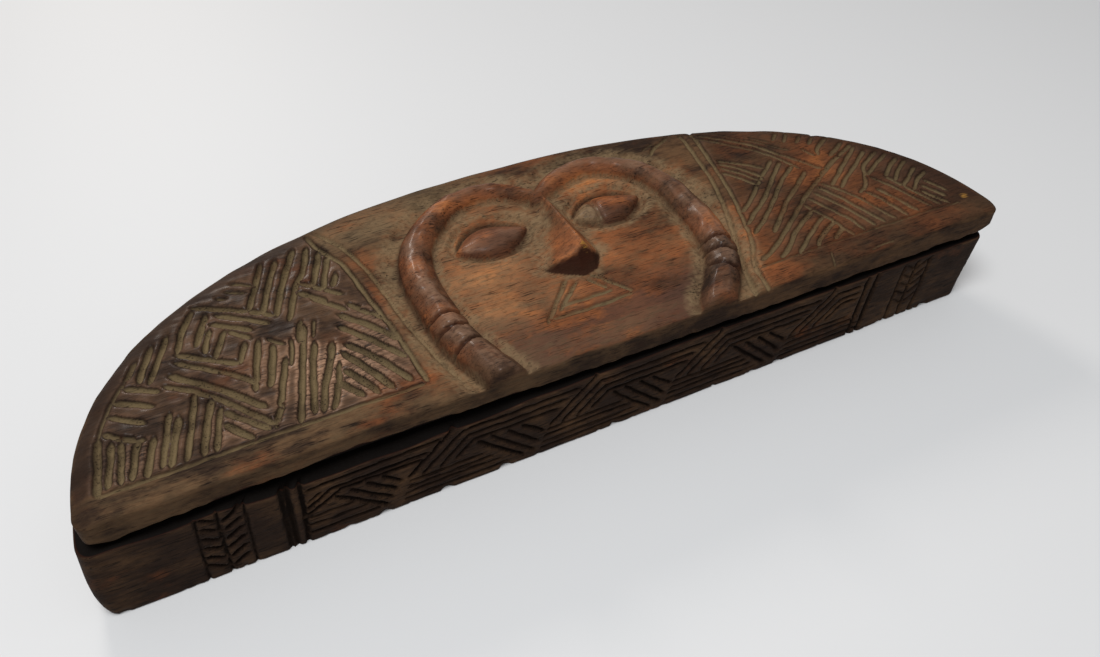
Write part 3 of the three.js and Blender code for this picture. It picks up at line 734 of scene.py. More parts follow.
def lidMarks(points, form):
    # how dusty, reddish, dark or polished the wood is, and where shade and highlights are painted on it
    x, y = points.T
    ridge, outside, within = form["ridge"], form["outside"], form["within"]
    almond, notch, noseHeight = form["almond"], form["notch"], form["nose"]
    behindBand = smooth(y, *wearAndPaintedLight["bandEnd"])
    leftPanel = behindBand * smooth(np.interp(y, *wearAndPaintedLight["leftEdge"]) - x, -1, 1)
    rightPanel = behindBand * smooth(x - np.interp(y, *wearAndPaintedLight["rightEdge"]), -1, 1)
    toLeft = 1 - smooth(x, *wearAndPaintedLight["dustyLeft"])
    low = smooth(-y, *wearAndPaintedLight["ridgeLow"])
    lowRidge = low * (ridge > 0.3)
    chin = within * smooth(-y, *wearAndPaintedLight["chin"]) * (ridge < 0.3)

    # dust lies where nothing stands up
    dull = (almond > 0) * (1 - smooth(x, *wearAndPaintedLight["dullEye"])) * smooth(x, 10, 12)
    bare = (1 - smooth(ridge, 0.1, 1.6)) * (1 - smooth(almond, 0.02, 0.3))
    bare = bare * (1 - smooth(noseHeight, 0.8, 3.5))
    bare = most(bare * (1 - 0.4 * smooth(form["fold"], 0.3, 0.8)), notch * 0.8, dull)
    beside = 1 - np.where(within, smooth(outside, *wearAndPaintedLight["innerDust"]), smooth(outside, *wearAndPaintedLight["outerDust"]))
    around = most(smooth(form["bowl"], -0.75, -0.05) * within, notch, dull * 0.22)
    flank = (1 - smooth(form["noseOut"], *wearAndPaintedLight["noseDust"])) * within
    broken = 0.45 + 0.3 * ripple(points, 9, 61) + 0.25 * ripple(points, 2.6, 62)
    corners = most(beside * 0.95, around * 0.9, flank * 0.85) * (0.6 + 0.6 * broken)
    haze = within * (0.3 + 0.32 * smooth(-x, -10, 20)) * (1 - 0.5 * smooth(-y, -26, -8))
    backEdge = 0.7 * smooth(y, 64, 78) * smooth(-x, -12, 10) * (1 - leftPanel)
    band = wearAndPaintedLight["bandDust"] * toLeft * (1 - behindBand)
    dusty = most(np.clip(corners, 0, 1), haze, backEdge, band) * bare

    board = np.where(within, wearAndPaintedLight["faceRed"], wearAndPaintedLight["boardRed"]) * (1 - leftPanel) * (1 - rightPanel)
    reddish = board + leftPanel * wearAndPaintedLight["panelReds"][0] + rightPanel * wearAndPaintedLight["panelReds"][1]
    reddish += smooth(ridge, 0.1, 1.5) * (wearAndPaintedLight["ridgeRed"] - 0.2 * low - reddish) + 0.05 * (almond > 0)
    reddish -= 0.2 * (1 - behindBand) * (1 - within) * toLeft
    reddish += sum(spots(points, wearAndPaintedLight["reddened"])) * (1 - smooth(ridge, 0, 0.5))

    dimmed = leftPanel * (wearAndPaintedLight["panelDims"][0] + 0.26 * smooth(-x, 105, 140))
    dimmed += rightPanel * (wearAndPaintedLight["panelDims"][1] + 0.44 * smooth(x, 112, 145))
    dimmed += (1 - behindBand) * (0.02 + 0.5 * smooth(x, 48, 90))
    # the almond's lower half is darkened as painted shade
    dimmed += 0.55 * form["lower"] + 0.25 * chin + 0.16 * lowRidge

    # painted shade along the ridges' feet, stronger on their outer side
    creviceShade = hump(outside, 0.1, 0.9) * np.where(within, 0.3, 0.65) * (noseHeight < 1)
    holes, rubbed, paintedGleamSpots = [most(*spots(points, wearAndPaintedLight[key])) for key in ("holes", "rubbed", "paintedGleamSpots")]
    highest = {
        # painted shade: on the nose's underside, in the eyelid's line, under each eye, in the ring grooves,
        # in the worm holes and at the ridges' feet
        "darkened": [smooth(form["underside"], 0.1, 1.2), form["line"] * 0.9, form["shadeUnderEye"] * 0.55,
                     form["nick"] * 0.8, holes, creviceShade],
        "smoky": [0.85 * chin, 0.6 * smooth(almond, 0, 0.3), 0.25 * lowRidge, 0.3 * smooth(ridge, 0.5, 2),
                  0.1 * leftPanel],
        "polished": [smooth(ridge, 1.5, 4), smooth(almond, 0.3, 0.9), leftPanel * 0.78, rightPanel * 0.35,
                     smooth(noseHeight, 1, 5) * 0.4],
        # painted highlights on the panel's crests, the eyes and the ridges
        "gleam": [leftPanel, almond > 0, smooth(ridge, 2, 4)],
        "raised": [smooth(ridge, 0, 0.6), smooth(noseHeight, 0, 0.5), smooth(almond, 0, 0.2)],
    }
    marks = {title: most(*shares) for title, shares in highest.items()}
    marks["gleam"] = marks["gleam"] * paintedGleamSpots
    marks["khaki"] = 0.85 + 0.15 * np.maximum(leftPanel, within)
    marks.update({"dusty": dusty, "reddish": reddish, "dim": np.clip(dimmed, 0, 1), "rubbed": rubbed})
    return marks


def dropAt(x):
    return np.interp(x, (lidLow[0], 0, lidHigh[0]), lid["edgeDrops"])


def edgeFalls(points, ring):
    # how far the top drops towards its round back and its straight front
    near = nearest(points, alongCurve(ring[:backCount, :2], 0.4))[0]
    back = dropAt(points[:, 0]) * np.clip(1 - near / lid["edgeFall"], 0, 1) ** 2.2
    fromFront = points[:, 1] - ring[backCount:, 1].mean()
    front = lid["frontDrop"] * np.clip(1 - fromFront / lid["frontFall"], 0, 1) ** 2
    return np.maximum(back, front), near


def lidShell():
    board = lidLow[0], lidHigh[0], -frontReach, lidHigh[1] - frontShift
    inset, chamfer = lid["plugInset"], lid["plugChamfer"]
    rightPlay, backPlay = lid["plugPlay"]
    plug = (bodyLow[0] + inset, bodyHigh[0] - inset - rightPlay,
            bodyLow[1] - frontShift + inset, bodyHigh[1] - frontShift - inset - backPlay)
    foot, seat = lidLow[2], lid["seatZ"]
    edgeFoot, edgeTop = seat + lid["edgeGap"], lid["boardTop"] - lid["frontDrop"]
    rings = [ringAt(*plug, z, inside) for z, inside in ((foot, chamfer), (foot + chamfer, 0), (seat, 0))]
    heights = [(seat, lid["edgeBevel"]), (seat + lid["edgeGap"] * 0.5, lid["edgeBevel"] * 0.5),
               (edgeFoot, lid["footRound"])]
    heights += [(z, 0) for z in np.linspace(edgeFoot + lid["footRound"], edgeTop, lid["edgeRings"])]
    rings += [ringAt(*board, z, inside) for z, inside in heights]
    return closedShell(rings, lid["topPitch"], lid["footPitch"], lid["margin"])


print("lid: board, plug and face")
shell = lidShell()
points = shell["points"]
topCount, ringStart, ringCount = shell["topCount"], shell["ringStart"], shell["ringCount"]
ringEnd = ringStart + ringCount * shell["levels"]
flatTop = points[:topCount, :2].copy()
relief, form = lidForm(flatTop)
marks = lidMarks(flatTop, form)
fall, edgeDistance = edgeFalls(flatTop, points[ringEnd - ringCount:ringEnd])
points[:topCount, 2] = lid["boardTop"] - fall + relief
points[:topCount, 2] += 0.16 * ripple(flatTop, 22, 3) + 0.07 * ripple(flatTop, 6, 4)

# the side walls lean with the top's fall and are whittled a little uneven
bevelStart = ringStart + lid["plugRings"] * ringCount
sideStart = bevelStart + lid["bevelRings"] * ringCount
side = points[sideStart:ringEnd]
onBack = smooth(side[:, 1], -frontReach + 0.5, 6)
level = (side[:, 2] - side[:, 2].min()) / (side[:, 2].max() - side[:, 2].min())
side[:, 2] -= onBack * (dropAt(side[:, 0]) - lid["frontDrop"]) * level**2
wobble = 0.22 * ripple(side, 18, 5) + 0.1 * ripple(side * [0.25, 1, 2], 5, 6)
side[:, 1] += 0.15 - 0.3 * onBack + wobble * (0.6 + 0.3 * onBack)
footWave = 0.5 * ripple(side[:, :1], 26, 7) + 0.25 * ripple(side[:, :1], 7, 8)
side[:, 2] += (1 - 0.6 * onBack) * footWave * (1 - level) ** 2 * 0.8
side[:, 2] += gap["boardRise"] * hump(side[:, 0], *gap["boardAt"]) * (1 - level) * (1 - onBack)
side[:, 2] += lid["tipWear"] * smooth(side[:, 0], *lid["wornTip"]) * (1 - level)
bevel = points[sideStart - ringCount:sideStart]
bevel[:, 2] += gap["bevelRise"] * hump(bevel[:, 0], *gap["boardAt"]) * (bevel[:, 1] < gap["bevelEnd"])


def keep(piece, title, values, fill=0.0):
    # an attribute that is worked out for the top only
    whole = np.full(len(piece.data.vertices), float(fill))
    whole[:len(values)] = values
    addAttribute(piece.data, title, whole)


lidPiece = meshFrom("carvedLid", shell, {})
cuttable = np.zeros(len(points))
cuttable[:topCount] = 1 - marks.pop("raised")
cuttable[ringEnd - 2 * ringCount:ringEnd] = 1
keep(lidPiece, "cuttable", cuttable)
bandDust = wearAndPaintedLight["bandDust"] * (1 - smooth(points[:, 0], *wearAndPaintedLight["dustyLeft"]))
underBoard = np.zeros(len(points))
# the bevel over the gap is painted black, as shade
underBoard[bevelStart:sideStart] = 2  # black, over the gap
fills = {"dusty": bandDust, "darkened": underBoard}
for title, values in marks.items():
    whole = fills.get(title, np.zeros(len(points)))
    whole[:topCount] = values
    keep(lidPiece, title, whole)

print("lid: grooves")
# every groove of the left panel
leftPanel = [
    # the round end: five upright ones, and a small figure over them
    (-142.8, 6.5, -141.5, 16, -140.4, 25), (-140.2, 8.4, -138.5, 16, -137.4, 22), (-136.9, 8.2, -135, 21.6),
    (-134.2, 8.2, -131.3, 20.4), (-130.6, 7.6, -127.3, 19.6), (-139, 26.2, -134, 22.4, -129.6, 20.2),
    (-136.8, 31.8, -128.6, 25.8), (-135, 36.6, -126, 31), (-131.8, 40.6, -123.4, 35.8),
    # upright ones below the figure of sides set in each other
    (-124.7, 8.5, -121.2, 20.5, -120.2, 24), (-121, 8.5, -118.2, 18.5, -115, 30.5),
    (-116.7, 8.5, -114, 18.5, -111.3, 26.5), (-113.4, 8.5, -111.5, 15.5, -109.6, 22.5),
    # lower left sides
    (-110, 16.6, -104.2, 8.6), (-109.2, 20.8, -99.4, 9.8), (-119.8, 40.2, -109, 30, -98.8, 18),
    (-117.6, 44.6, -104, 33.4, -98.6, 27), (-116.8, 47.6, -101.4, 36.8),
    (-121.8, 36.9, -115.9, 32.4, -109.8, 26.2, -103.1, 17.7, -97.8, 10.8),
    (-122.4, 26.2, -124.7, 17, -126.9, 9),
    # lower right sides
    (-99.6, 25, -94.6, 43.5), (-95.6, 25, -91.2, 40), (-94.8, 16.5, -89.3, 33), (-101.2, 37, -98.4, 44.5),
    # upper left sides
    (-116.2, 48.6, -113.4, 57, -109.5, 63.8), (-111, 49, -106.2, 60.6), (-109.4, 44.8, -106.4, 53.8),
    (-106.9, 41.8, -102.6, 51.6),
    # upper right sides
    (-109, 65.6, -99.5, 60, -88, 52.4), (-103.4, 59.4, -94, 52.6, -90.2, 49.6), (-105.6, 56.2, -95.4, 49),
    (-101.6, 51.2, -96.6, 45.8),
    # upright ones up to the rim, left of them
    (-131, 42.6, -129.5, 46, -127.6, 49.6), (-127.8, 41.4, -122.6, 54.2), (-125.3, 39.8, -118, 56.6),
    # long upright ones right of them
    (-91.6, 8.6, -89.8, 15, -85.5, 30, -81.2, 44), (-87.4, 10.5, -83.5, 26.5, -80.4, 35.6),
    (-85, 10, -82.5, 17.5, -78.5, 26, -75.8, 33.6), (-82.2, 9.6, -79, 17.5, -76.4, 24.4),
    (-97.8, 9.5, -94.6, 16.5), (-84, 38, -81.6, 46),
    # the lower right corner
    (-78.6, 18.4, -73.9, 10.6), (-75.8, 21.8, -72, 15, -69.8, 9.6), (-74.2, 28.4, -70, 20, -65.4, 9.8),
    (-72.2, 31.4, -66, 22, -60, 10.6), (-71.8, 39.4, -65, 30, -58.5, 19.6),
    (-70.4, 44, -64, 36.6, -57.6, 27), (-66.6, 47.6, -58.6, 37),
    # long ones by the back rim
    (-94.1, 57.4, -89.5, 68, -86, 77), (-90.4, 54.8, -86, 66.5, -81.5, 76.4),
    (-87.2, 52, -81.5, 66.5, -75.2, 79), (-84.2, 48.6, -79, 62, -75, 68.5, -71, 78.6),
    (-73.8, 60.2, -68, 75), (-71.2, 57.6, -66, 71.6), (-68.4, 57.4, -66.2, 62.4), (-77.2, 62.7, -67, 52.8),
    (-78.6, 58.7, -72.3, 51.6), (-75.6, 54, -68, 45.6),
]
leftPanelFaint = [
    (-102.2, 67, -99, 65.2), (-96.6, 71.6, -90.4, 67.8), (-99.2, 68.6, -93, 65.3), (-88.6, 30, -86, 40),
    (-80, 38, -77.6, 45), (-92, 43.4, -88, 38.4), (-63.6, 43.8, -59.4, 38.4),
    (-143, 6.2, -120, 6.7, -95, 7.2, -72, 7.2, -57, 7.6), (-140.4, 25, -137.6, 33, -134.4, 39, -131, 42.6),
]
# and of the right panel
rightPanel = [
    # long ones up to the right, one of them as far as the rim
    (69, 35.2, 76.2, 40.2, 84, 46.9, 96.8, 56.7),
    (66.5, 28.6, 72.3, 33, 78.5, 37, 85, 42.5, 92.9, 49.4, 99, 54.4),
    (65.7, 23.6, 73.4, 28.6, 81.8, 35.2, 92.3, 44.2, 101.8, 50.6),
    (72, 21.3, 79, 27.4, 86.8, 34.1, 93, 38, 104, 45.8),
    (60, 11.3, 68, 15.2, 80.7, 23.6, 88.4, 29.1, 95.7, 34.1, 106, 40.2, 111.9, 43.6, 121, 48.5),
    (66.2, 9.7, 71.2, 12.4, 79, 18.6, 91.2, 25.5), (72.9, 8.6, 79, 13, 85, 16.9, 92.3, 21.3),
    (80.7, 9.1, 85, 12.4, 94, 17.4), (88.4, 9.7, 95, 13.6),
    # steep ones down to the right
    (90.7, 29.1, 91.8, 24.1, 94, 18, 95.7, 9.1), (94.3, 31.9, 98.4, 20.8, 100.1, 16.9, 100.7, 9.7),
    (98.4, 33.6, 101.2, 26.3, 102.9, 21.3, 105.5, 9.7), (101.5, 36.6, 105.2, 28, 106.9, 21.3, 109.7, 9.7),
    (104.1, 37.4, 107.4, 31.9, 110.8, 24.1, 112.4, 16.9, 114.7, 9.7), (115.8, 26.3, 118, 19.1, 119.7, 9.7),
    (120.2, 26.3, 123, 18, 124.7, 9.7), (123, 32.4, 126.9, 23, 130.8, 9.7),
    (128, 30.8, 130.2, 23.6, 134.7, 9.7), (134.1, 18.6, 138, 9.1), (136.3, 21.3, 139.7, 12.4),
    (139.7, 23.6, 142.4, 14.7),
    # by the round end
    (106.9, 34.7, 111.9, 38, 118.6, 43, 130.7, 51), (109.1, 31.9, 114.7, 35.8, 123, 40.8, 132.3, 47.3),
    (113, 26.9, 117.4, 29.1, 122.4, 35.2, 125.8, 39.7, 136.3, 45.2), (123, 34.1, 129.1, 37.4, 139.7, 43),
    (128.6, 30.8, 133.6, 34.7, 140.2, 38.6), (129.7, 27.4, 136.9, 33, 142.4, 35.8),
    (130.2, 23.6, 142.4, 31.3), (132.4, 20.2, 138, 24.7, 144.1, 27.4),
    # by the back rim
    (105.1, 67.2, 109.6, 71.1), (108.4, 64.4, 112.9, 69.4), (112.3, 62.2, 117.3, 66.1),
    (115.7, 59.4, 121.8, 64.4), (114.6, 52.2, 117.9, 56.1, 125.1, 60.6), (118.4, 50, 128.4, 55.6),
    (107.3, 41.1, 114.6, 45.6, 121.8, 48.9, 130.7, 52.8), (111.2, 57.8, 112.9, 52.2),
    (78.5, 80.6, 88.6, 71.4, 98.3, 59.6, 103.2, 48), (80.7, 81.9, 93.2, 71.5, 102.1, 58.5, 110.5, 44.6),
    (57.9, 77.8, 61.2, 81.1, 69.6, 85.6),
    # short ones down to the right beside the parting lines
    (78.1, 64.6, 91.2, 53.6), (77.4, 62.8, 82.8, 56.7, 87.5, 49.7), (76.6, 60.3, 81.4, 54.6, 85.4, 48),
    (75.4, 57.4, 79.5, 52, 82.6, 46.6),
]
rightPanelFaint = [
    (86.1, 82.5, 95.8, 71.9, 107.2, 59.1), (97.3, 72.8, 104, 65.6), (56.2, 81.7, 62.9, 84.4),
    (79, -1.6, 83, 5.5), (95, 0, 101, 0.6, 106, 0.5), (57, 8.3, 85, 8.4, 118, 8.3, 131, 8.2, 142, 7.5),
]
# pairs of lines that part the panels from the face
partingLines = [
    (-69.2, 86, -68.5, 79.5, -65.5, 72.5, -63, 67.5, -61.5, 60, -60, 47.5, -57.8, 32, -57, 20, -56, 7),
    (-66.8, 86, -60.7, 74.1, -57.1, 61.3, -55.4, 49.1, -53.9, 34.9, -51.4, 22, -47.5, 5),
    (75, 86, 73.4, 73.9, 70.1, 56.7, 66.2, 44.4, 64, 38, 61.2, 30.2, 56.8, 20.2, 54, 13.5, 48, -2.5),
    (79.4, 86, 77.9, 75.6, 74.3, 58.3, 70.7, 44.4, 67, 33, 62.3, 20.8, 57.3, 12.4, 54.5, 4.7, 53, -2.5),
]
# a triangle inside a triangle
mouth = [
    (-16.2, 13.6, -8.6, 22.4, -1.8, 29.6), (-10.6, 17.2, -5, 22, 0.8, 27.4),
    (5.8, 29, 10.8, 22, 15.2, 15.8), (3.6, 27.2, 6.2, 23.4, 8.4, 20.2), (-14.6, 15.4, 0, 14.6, 14.8, 15.9),
    (-9.6, 19.4, 0, 18.9, 9.8, 19.6),
]
lidStrokes = []
for rows, width, depth, longer in ((leftPanel, 2.7, 1.8, 0.8), (leftPanelFaint, 2, 1.1, 0.4),
                                   (rightPanel, 2.4, 1.4, 0.6), (rightPanelFaint, 1.5, 0.8, 0),
                                   (partingLines, 2.4, 1.2, 0), (mouth, 2.2, 1.15, 0)):
    lidStrokes += softStrokes(width, depth, rows, longer)


def onLid(x, y):
    return (x, y + frontShift, 0)


cutGrooves(lidPiece, strokeObject("lidStrokes", lidStrokes, onLid), {
    "Plane": (1, 1, 0), "Push": (0, 0, -1), "Raggedness": 0.00025, "Flat Bottom": 0.12, "Seed": 2.0})


def hollowness(piece, used, pitches, reach):
    # how far each point of the top lattice lies under its surroundings, in millimetres
    heights = np.zeros(len(piece.data.vertices) * 3, np.float32)
    piece.data.vertices.foreach_get("co", heights)
    top = heights.reshape(-1, 3)[:used.sum(), 2].astype(float) / mm
    grid = np.zeros(used.shape)
    grid[used] = top
    softened = []
    for values in (grid, used.astype(float)):
        for axis, pitch in ((1, pitches[0]), (0, pitches[1])):
            steps = int(3 * reach / pitch)
            kernel = np.exp(-0.5 * (np.arange(-steps, steps + 1) * pitch / reach) ** 2)
            values = np.apply_along_axis(lambda row: np.convolve(row, kernel, "same"), axis, values)
        softened.append(values)
    return (softened[0] / np.maximum(softened[1], 1e-6))[used] - top


hollow = np.zeros(topCount)
for reach, deepest, share in wearAndPaintedLight["hollows"]:
    under = hollowness(lidPiece, shell["used"], lid["topPitch"], reach)
    hollow += np.clip(under / deepest, -1, 1) * share
keep(lidPiece, "hollow", hollow)
# darker along the board's back edge, most at the left end; the side walls and the underside are darkened as
# painted shade
leftRim = 0.5 + 0.5 * smooth(-flatTop[:, 0], *wearAndPaintedLight["darkRimFrom"])
keep(lidPiece, "rim", (1 - smooth(edgeDistance, *wearAndPaintedLight["rimWidth"])) * leftRim, wearAndPaintedLight["sideShade"])


# Body: outside wall with the carved frieze on its straight front, rim, well and floor.
body = {
    "floor": 7.0,
    "wall": 9.0,
    "rightSlope": 2.6,
    "leftFlare": 3.0,  # how far the foot of the left end stands out
    "backSlope": 2.0,
    "footRound": 0.6,
    "rimRound": 0.6,
    "roundRings": 4,  # rings of the foot's and the rim's rounding, above and below the wall's own
    # painted shade: these rings are coloured black where the lid's gap shades them
    "blackRings": 4,  # rings of the rim's flat that are black, under the gap
    "wellFillet": 3.0,
    "wallPitch": 0.55,
    "wellPitch": 2.2,
    "footPitch": (3.0, 3.0),
    "floorPitch": (2.0, 2.0),
    "margin": 1.6,
    "frontLeans": ((-150, 0, 150), (-0.9, -0.5, 0.2)),  # how far the front's foot stands out along x
    "frontEdge": 1.2,  # what lies this near the front can be carved
    "chipDepth": 1.1,
    "chipHeight": (0.3, 3.2),
}


def bodyShell():
    height, floor, wall, fillet = bodyHigh[2], body["floor"], body["wall"], body["wellFillet"]
    footRound, rimRound = body["footRound"], body["rimRound"]
    front = bodyLow[1] - frontShift
    back = bodyHigh[1] - frontShift

    def wallRing(z, inset):
        below = 1 - z / height
        flare = body["leftFlare"] * below * (1 - below**4)
        return ringAt(bodyLow[0] - flare, bodyHigh[0] - body["rightSlope"] * below,
                      front, back - body["backSlope"] * below, z, inset)

    rings = [wallRing(0, footRound), wallRing(footRound * 0.3, footRound * 0.3)]
    levels = int((height - footRound - rimRound) / body["wallPitch"])
    rings += [wallRing(z, 0) for z in np.linspace(footRound, height - rimRound, levels)]
    rings += [wallRing(height - rimRound * 0.3, rimRound * 0.3)]
    rings += [wallRing(height, rimRound + (wall - 2 * rimRound) * share) for share in (0, 0.25, 0.5, 0.75, 1)]
    rings += [wallRing(z, wall) for z in np.arange(height - rimRound, floor + fillet, -body["wellPitch"])]
    for curve in np.array([0, 0.35, 0.7, 1]) * math.pi / 2:
        rings.append(wallRing(floor + fillet * (1 - math.sin(curve)), wall + fillet * (1 - math.cos(curve))))
    return closedShell(rings, body["floorPitch"], body["footPitch"], body["margin"]), levels


print("body: walls and well")
shell, wallLevels = bodyShell()
points = shell["points"]
ringStart, ringCount = shell["ringStart"], shell["ringCount"]
wallEnd = ringStart + ringCount * (wallLevels + body["roundRings"])
wall = points[ringStart:wallEnd]
onBack = smooth(wall[:, 1], bodyLow[1] - frontShift + 0.5, 6)
wobble = 0.2 * ripple(wall, 20, 21) + 0.08 * ripple(wall * [0.4, 1, 1.6], 5, 22)
wall[:, 1] += 0.1 - 0.3 * onBack + wobble * (0.5 + 0.5 * onBack)
# the foot of the front leans out at the left, and is chipped here and there
wall[:, 1] += (1 - onBack) * np.interp(wall[:, 0], *body["frontLeans"]) * (1 - wall[:, 2] / bodyHigh[2])
chips = np.maximum(0, ripple(wall[:, :1], 13, 27) - 0.6)
chips += 0.5 * np.maximum(0, ripple(wall[:, :1], 5, 28) - 0.8)
wall[:, 1] += (1 - onBack) * chips * body["chipDepth"] * (1 - smooth(wall[:, 2], *body["chipHeight"]))
lift = (wall[:, 2] / bodyHigh[2]) ** 3
wall[:, 2] += lift * 0.25 * ripple(wall[:, :1], 30, 23)
wall[:, 2] -= lift * gap["rimDrop"] * hump(wall[:, 0], *gap["rimAt"]) * (1 - onBack)
inner = points[wallEnd:]
inner[:, 2] += 0.12 * ripple(inner, 12, 24) * (inner[:, 2] > 3)
floor = points[:shell["topCount"]]
floor[:, 2] += 0.2 * ripple(floor, 14, 25) + 0.12 * ripple(floor, 5, 26)

cuttable = np.zeros(len(points))
cuttable[ringStart:wallEnd] = wall[:, 1] < bodyLow[1] - frontShift + body["frontEdge"]
# the rim's flat under the gap is painted black, as shade
rim = np.zeros(len(points))
rim[wallEnd - ringCount:wallEnd + ringCount * body["blackRings"]] = 2
bodyPiece = meshFrom("carvedBody", shell, {"cuttable": cuttable, "darkened": rim,
                                           "khaki": np.ones(len(points)),
                                           "reddish": np.full(len(points), 0.06)})

print("body: frieze")
frieze = {
    "lift": 1.5,  # how much higher it lies, and how much wider and deeper its strokes are, than below
    "widen": 1.15,
    "deepen": 1.35,
    "start": -68.2,
    "repeat": 44.9,
    "repeats": 4,
    "end": 94.0,
}


def friezeUnit(x, last):
    # strokes that climb to the right and turn level, and strokes that fall to the right under them
    end = frieze["end"]
    made = strokes(1.5, 1.0, (x, 9.8, x + 16.6, 25))
    made += strokes(1.4, 0.9, (x + 4.3, 9.4, x + 17.6, 21.5, min(x + 55.5, end), 21.5),
                    (x + 9.6, 9.7, x + 19, 18.7, min(x + 51.5, end), 18.7),
                    (x + 14.5, 10.6, x + 20.4, 16, min(x + 49, end), 16))
    if not last:
        made += strokes(1.5, 1.0, (x + 21.5, 15, x + 28.2, 8, x + 36.5, 0.6), (x + 25.8, 15.2, x + 40.2, 1.2),
                        (x + 31, 15, x + 41.5, 4.6), (x + 35.5, 15, x + 43.6, 8.2))
        made += fan(1.2, 0.75, 4, (x + 43.8, 8.5, x + 70.5, 8.5), (x + 41.5, 1.2, x + 78, 1.2))
    return made


friezeStrokes = []
for i in range(frieze["repeats"]):
    friezeStrokes += friezeUnit(frieze["start"] + i * frieze["repeat"], i == frieze["repeats"] - 1)
# the start of the frieze, left of the first repeat
friezeStrokes += strokes(1.4, 0.9, (-96.5, 20, -57, 21.2), (-97.3, 12, -89.5, 17.2, -61, 17.7),
                         (-98, 9.3, -87, 15.4, -63, 15.6))
friezeStrokes += strokes(1.2, 0.8, (-96.3, 15, -92, 17.7))
for row in ((1.5, 1.0, 4, (-89.3, 13.8, -74.6, 1.6), (-75.6, 15, -69.6, 9.4)),
            (1.2, 0.75, 3, (-98, 8.5, -83, 8.4), (-97.8, 2.2, -77, 2.2)),
            (1.2, 0.7, 4, (-68.2, 8.5, -44.6, 8.5), (-70.4, 1.2, -36.4, 1.2))):
    friezeStrokes += fan(*row)
# upright lines that end the frieze, and those of the herringbone columns
endLines = ((-102.2, -103.5), (-100.6, -101.8), (-97.1, -98.9), (96.4, 94.6), (100.4, 98.2))
columnLines = ((-124.2, -126.2), (-118.6, -119.9), (-111.7, -113.3), (112.6, 111.4), (118.2, 117),
               (123.8, 122.6))
friezeStrokes += strokes(1.8, 1.3, *[(top, 24.6, foot, -2) for top, foot in endLines])
friezeStrokes += strokes(1.3, 0.9, *[(top, 24.4, foot, -1.8) for top, foot in columnLines])
# and the herringbone
for row in ((1.5, 1.0, 6, (-123.8, 24, -119.2, 20.8), (-125.6, 4.8, -120.4, 1.4)),
            (1.5, 1.1, 6, (-118.2, 19.8, -112.4, 23.6), (-119.5, 0.8, -113.8, 4.6)),
            (1.2, 0.6, 5, (113, 23.6, 117.6, 20.4), (112, 8.4, 116.8, 5)),
            (1.2, 0.6, 5, (118.8, 20.4, 123.2, 23.6), (117.8, 5, 122.4, 8.4))):
    friezeStrokes += fan(*row)
friezeStrokes = [(line, width * frieze["widen"], depth * frieze["deepen"])
                 for line, width, depth in friezeStrokes]


def onFront(x, z):
    return (x, 0, z + frieze["lift"])


cutGrooves(bodyPiece, strokeObject("friezeStrokes", friezeStrokes, onFront), {
    "Plane": (1, 0, 1), "Push": (0, 1, 0), "Raggedness": 0.0004, "Flat Bottom": 0.15, "Seed": 5.0})

print("materials")
wood = {
    "dark": colour(42, 30, 23),
    "mid": colour(90, 66, 45),
    "red": colour(130, 76, 44),
    "orange": colour(190, 118, 64),
    "smoke": colour(78, 54, 45),
    # painted highlight
    "gleam": colour(166, 130, 104),
    "dust": colour(121, 101, 75),
    "grooveDust": colour(108, 93, 67),
    # painted highlight on worn edges, partly the lighter wood of their wear
    "wornEdgeAndGlint": colour(112, 84, 66),
    "ochre": colour(146, 106, 48),
    "black": colour(14, 10, 8),
    # painted shade, brown
    "paintedShadeBrown": colour(40, 20, 13),
    "lidTones": (0.4, 0.58),
    "bodyTones": (0.42, 0.76),
    "specular": 0.05,
    "coatRoughness": 0.25,
    "bumpStrength": 0.45,
    "bumpDistance": 0.0006,
}


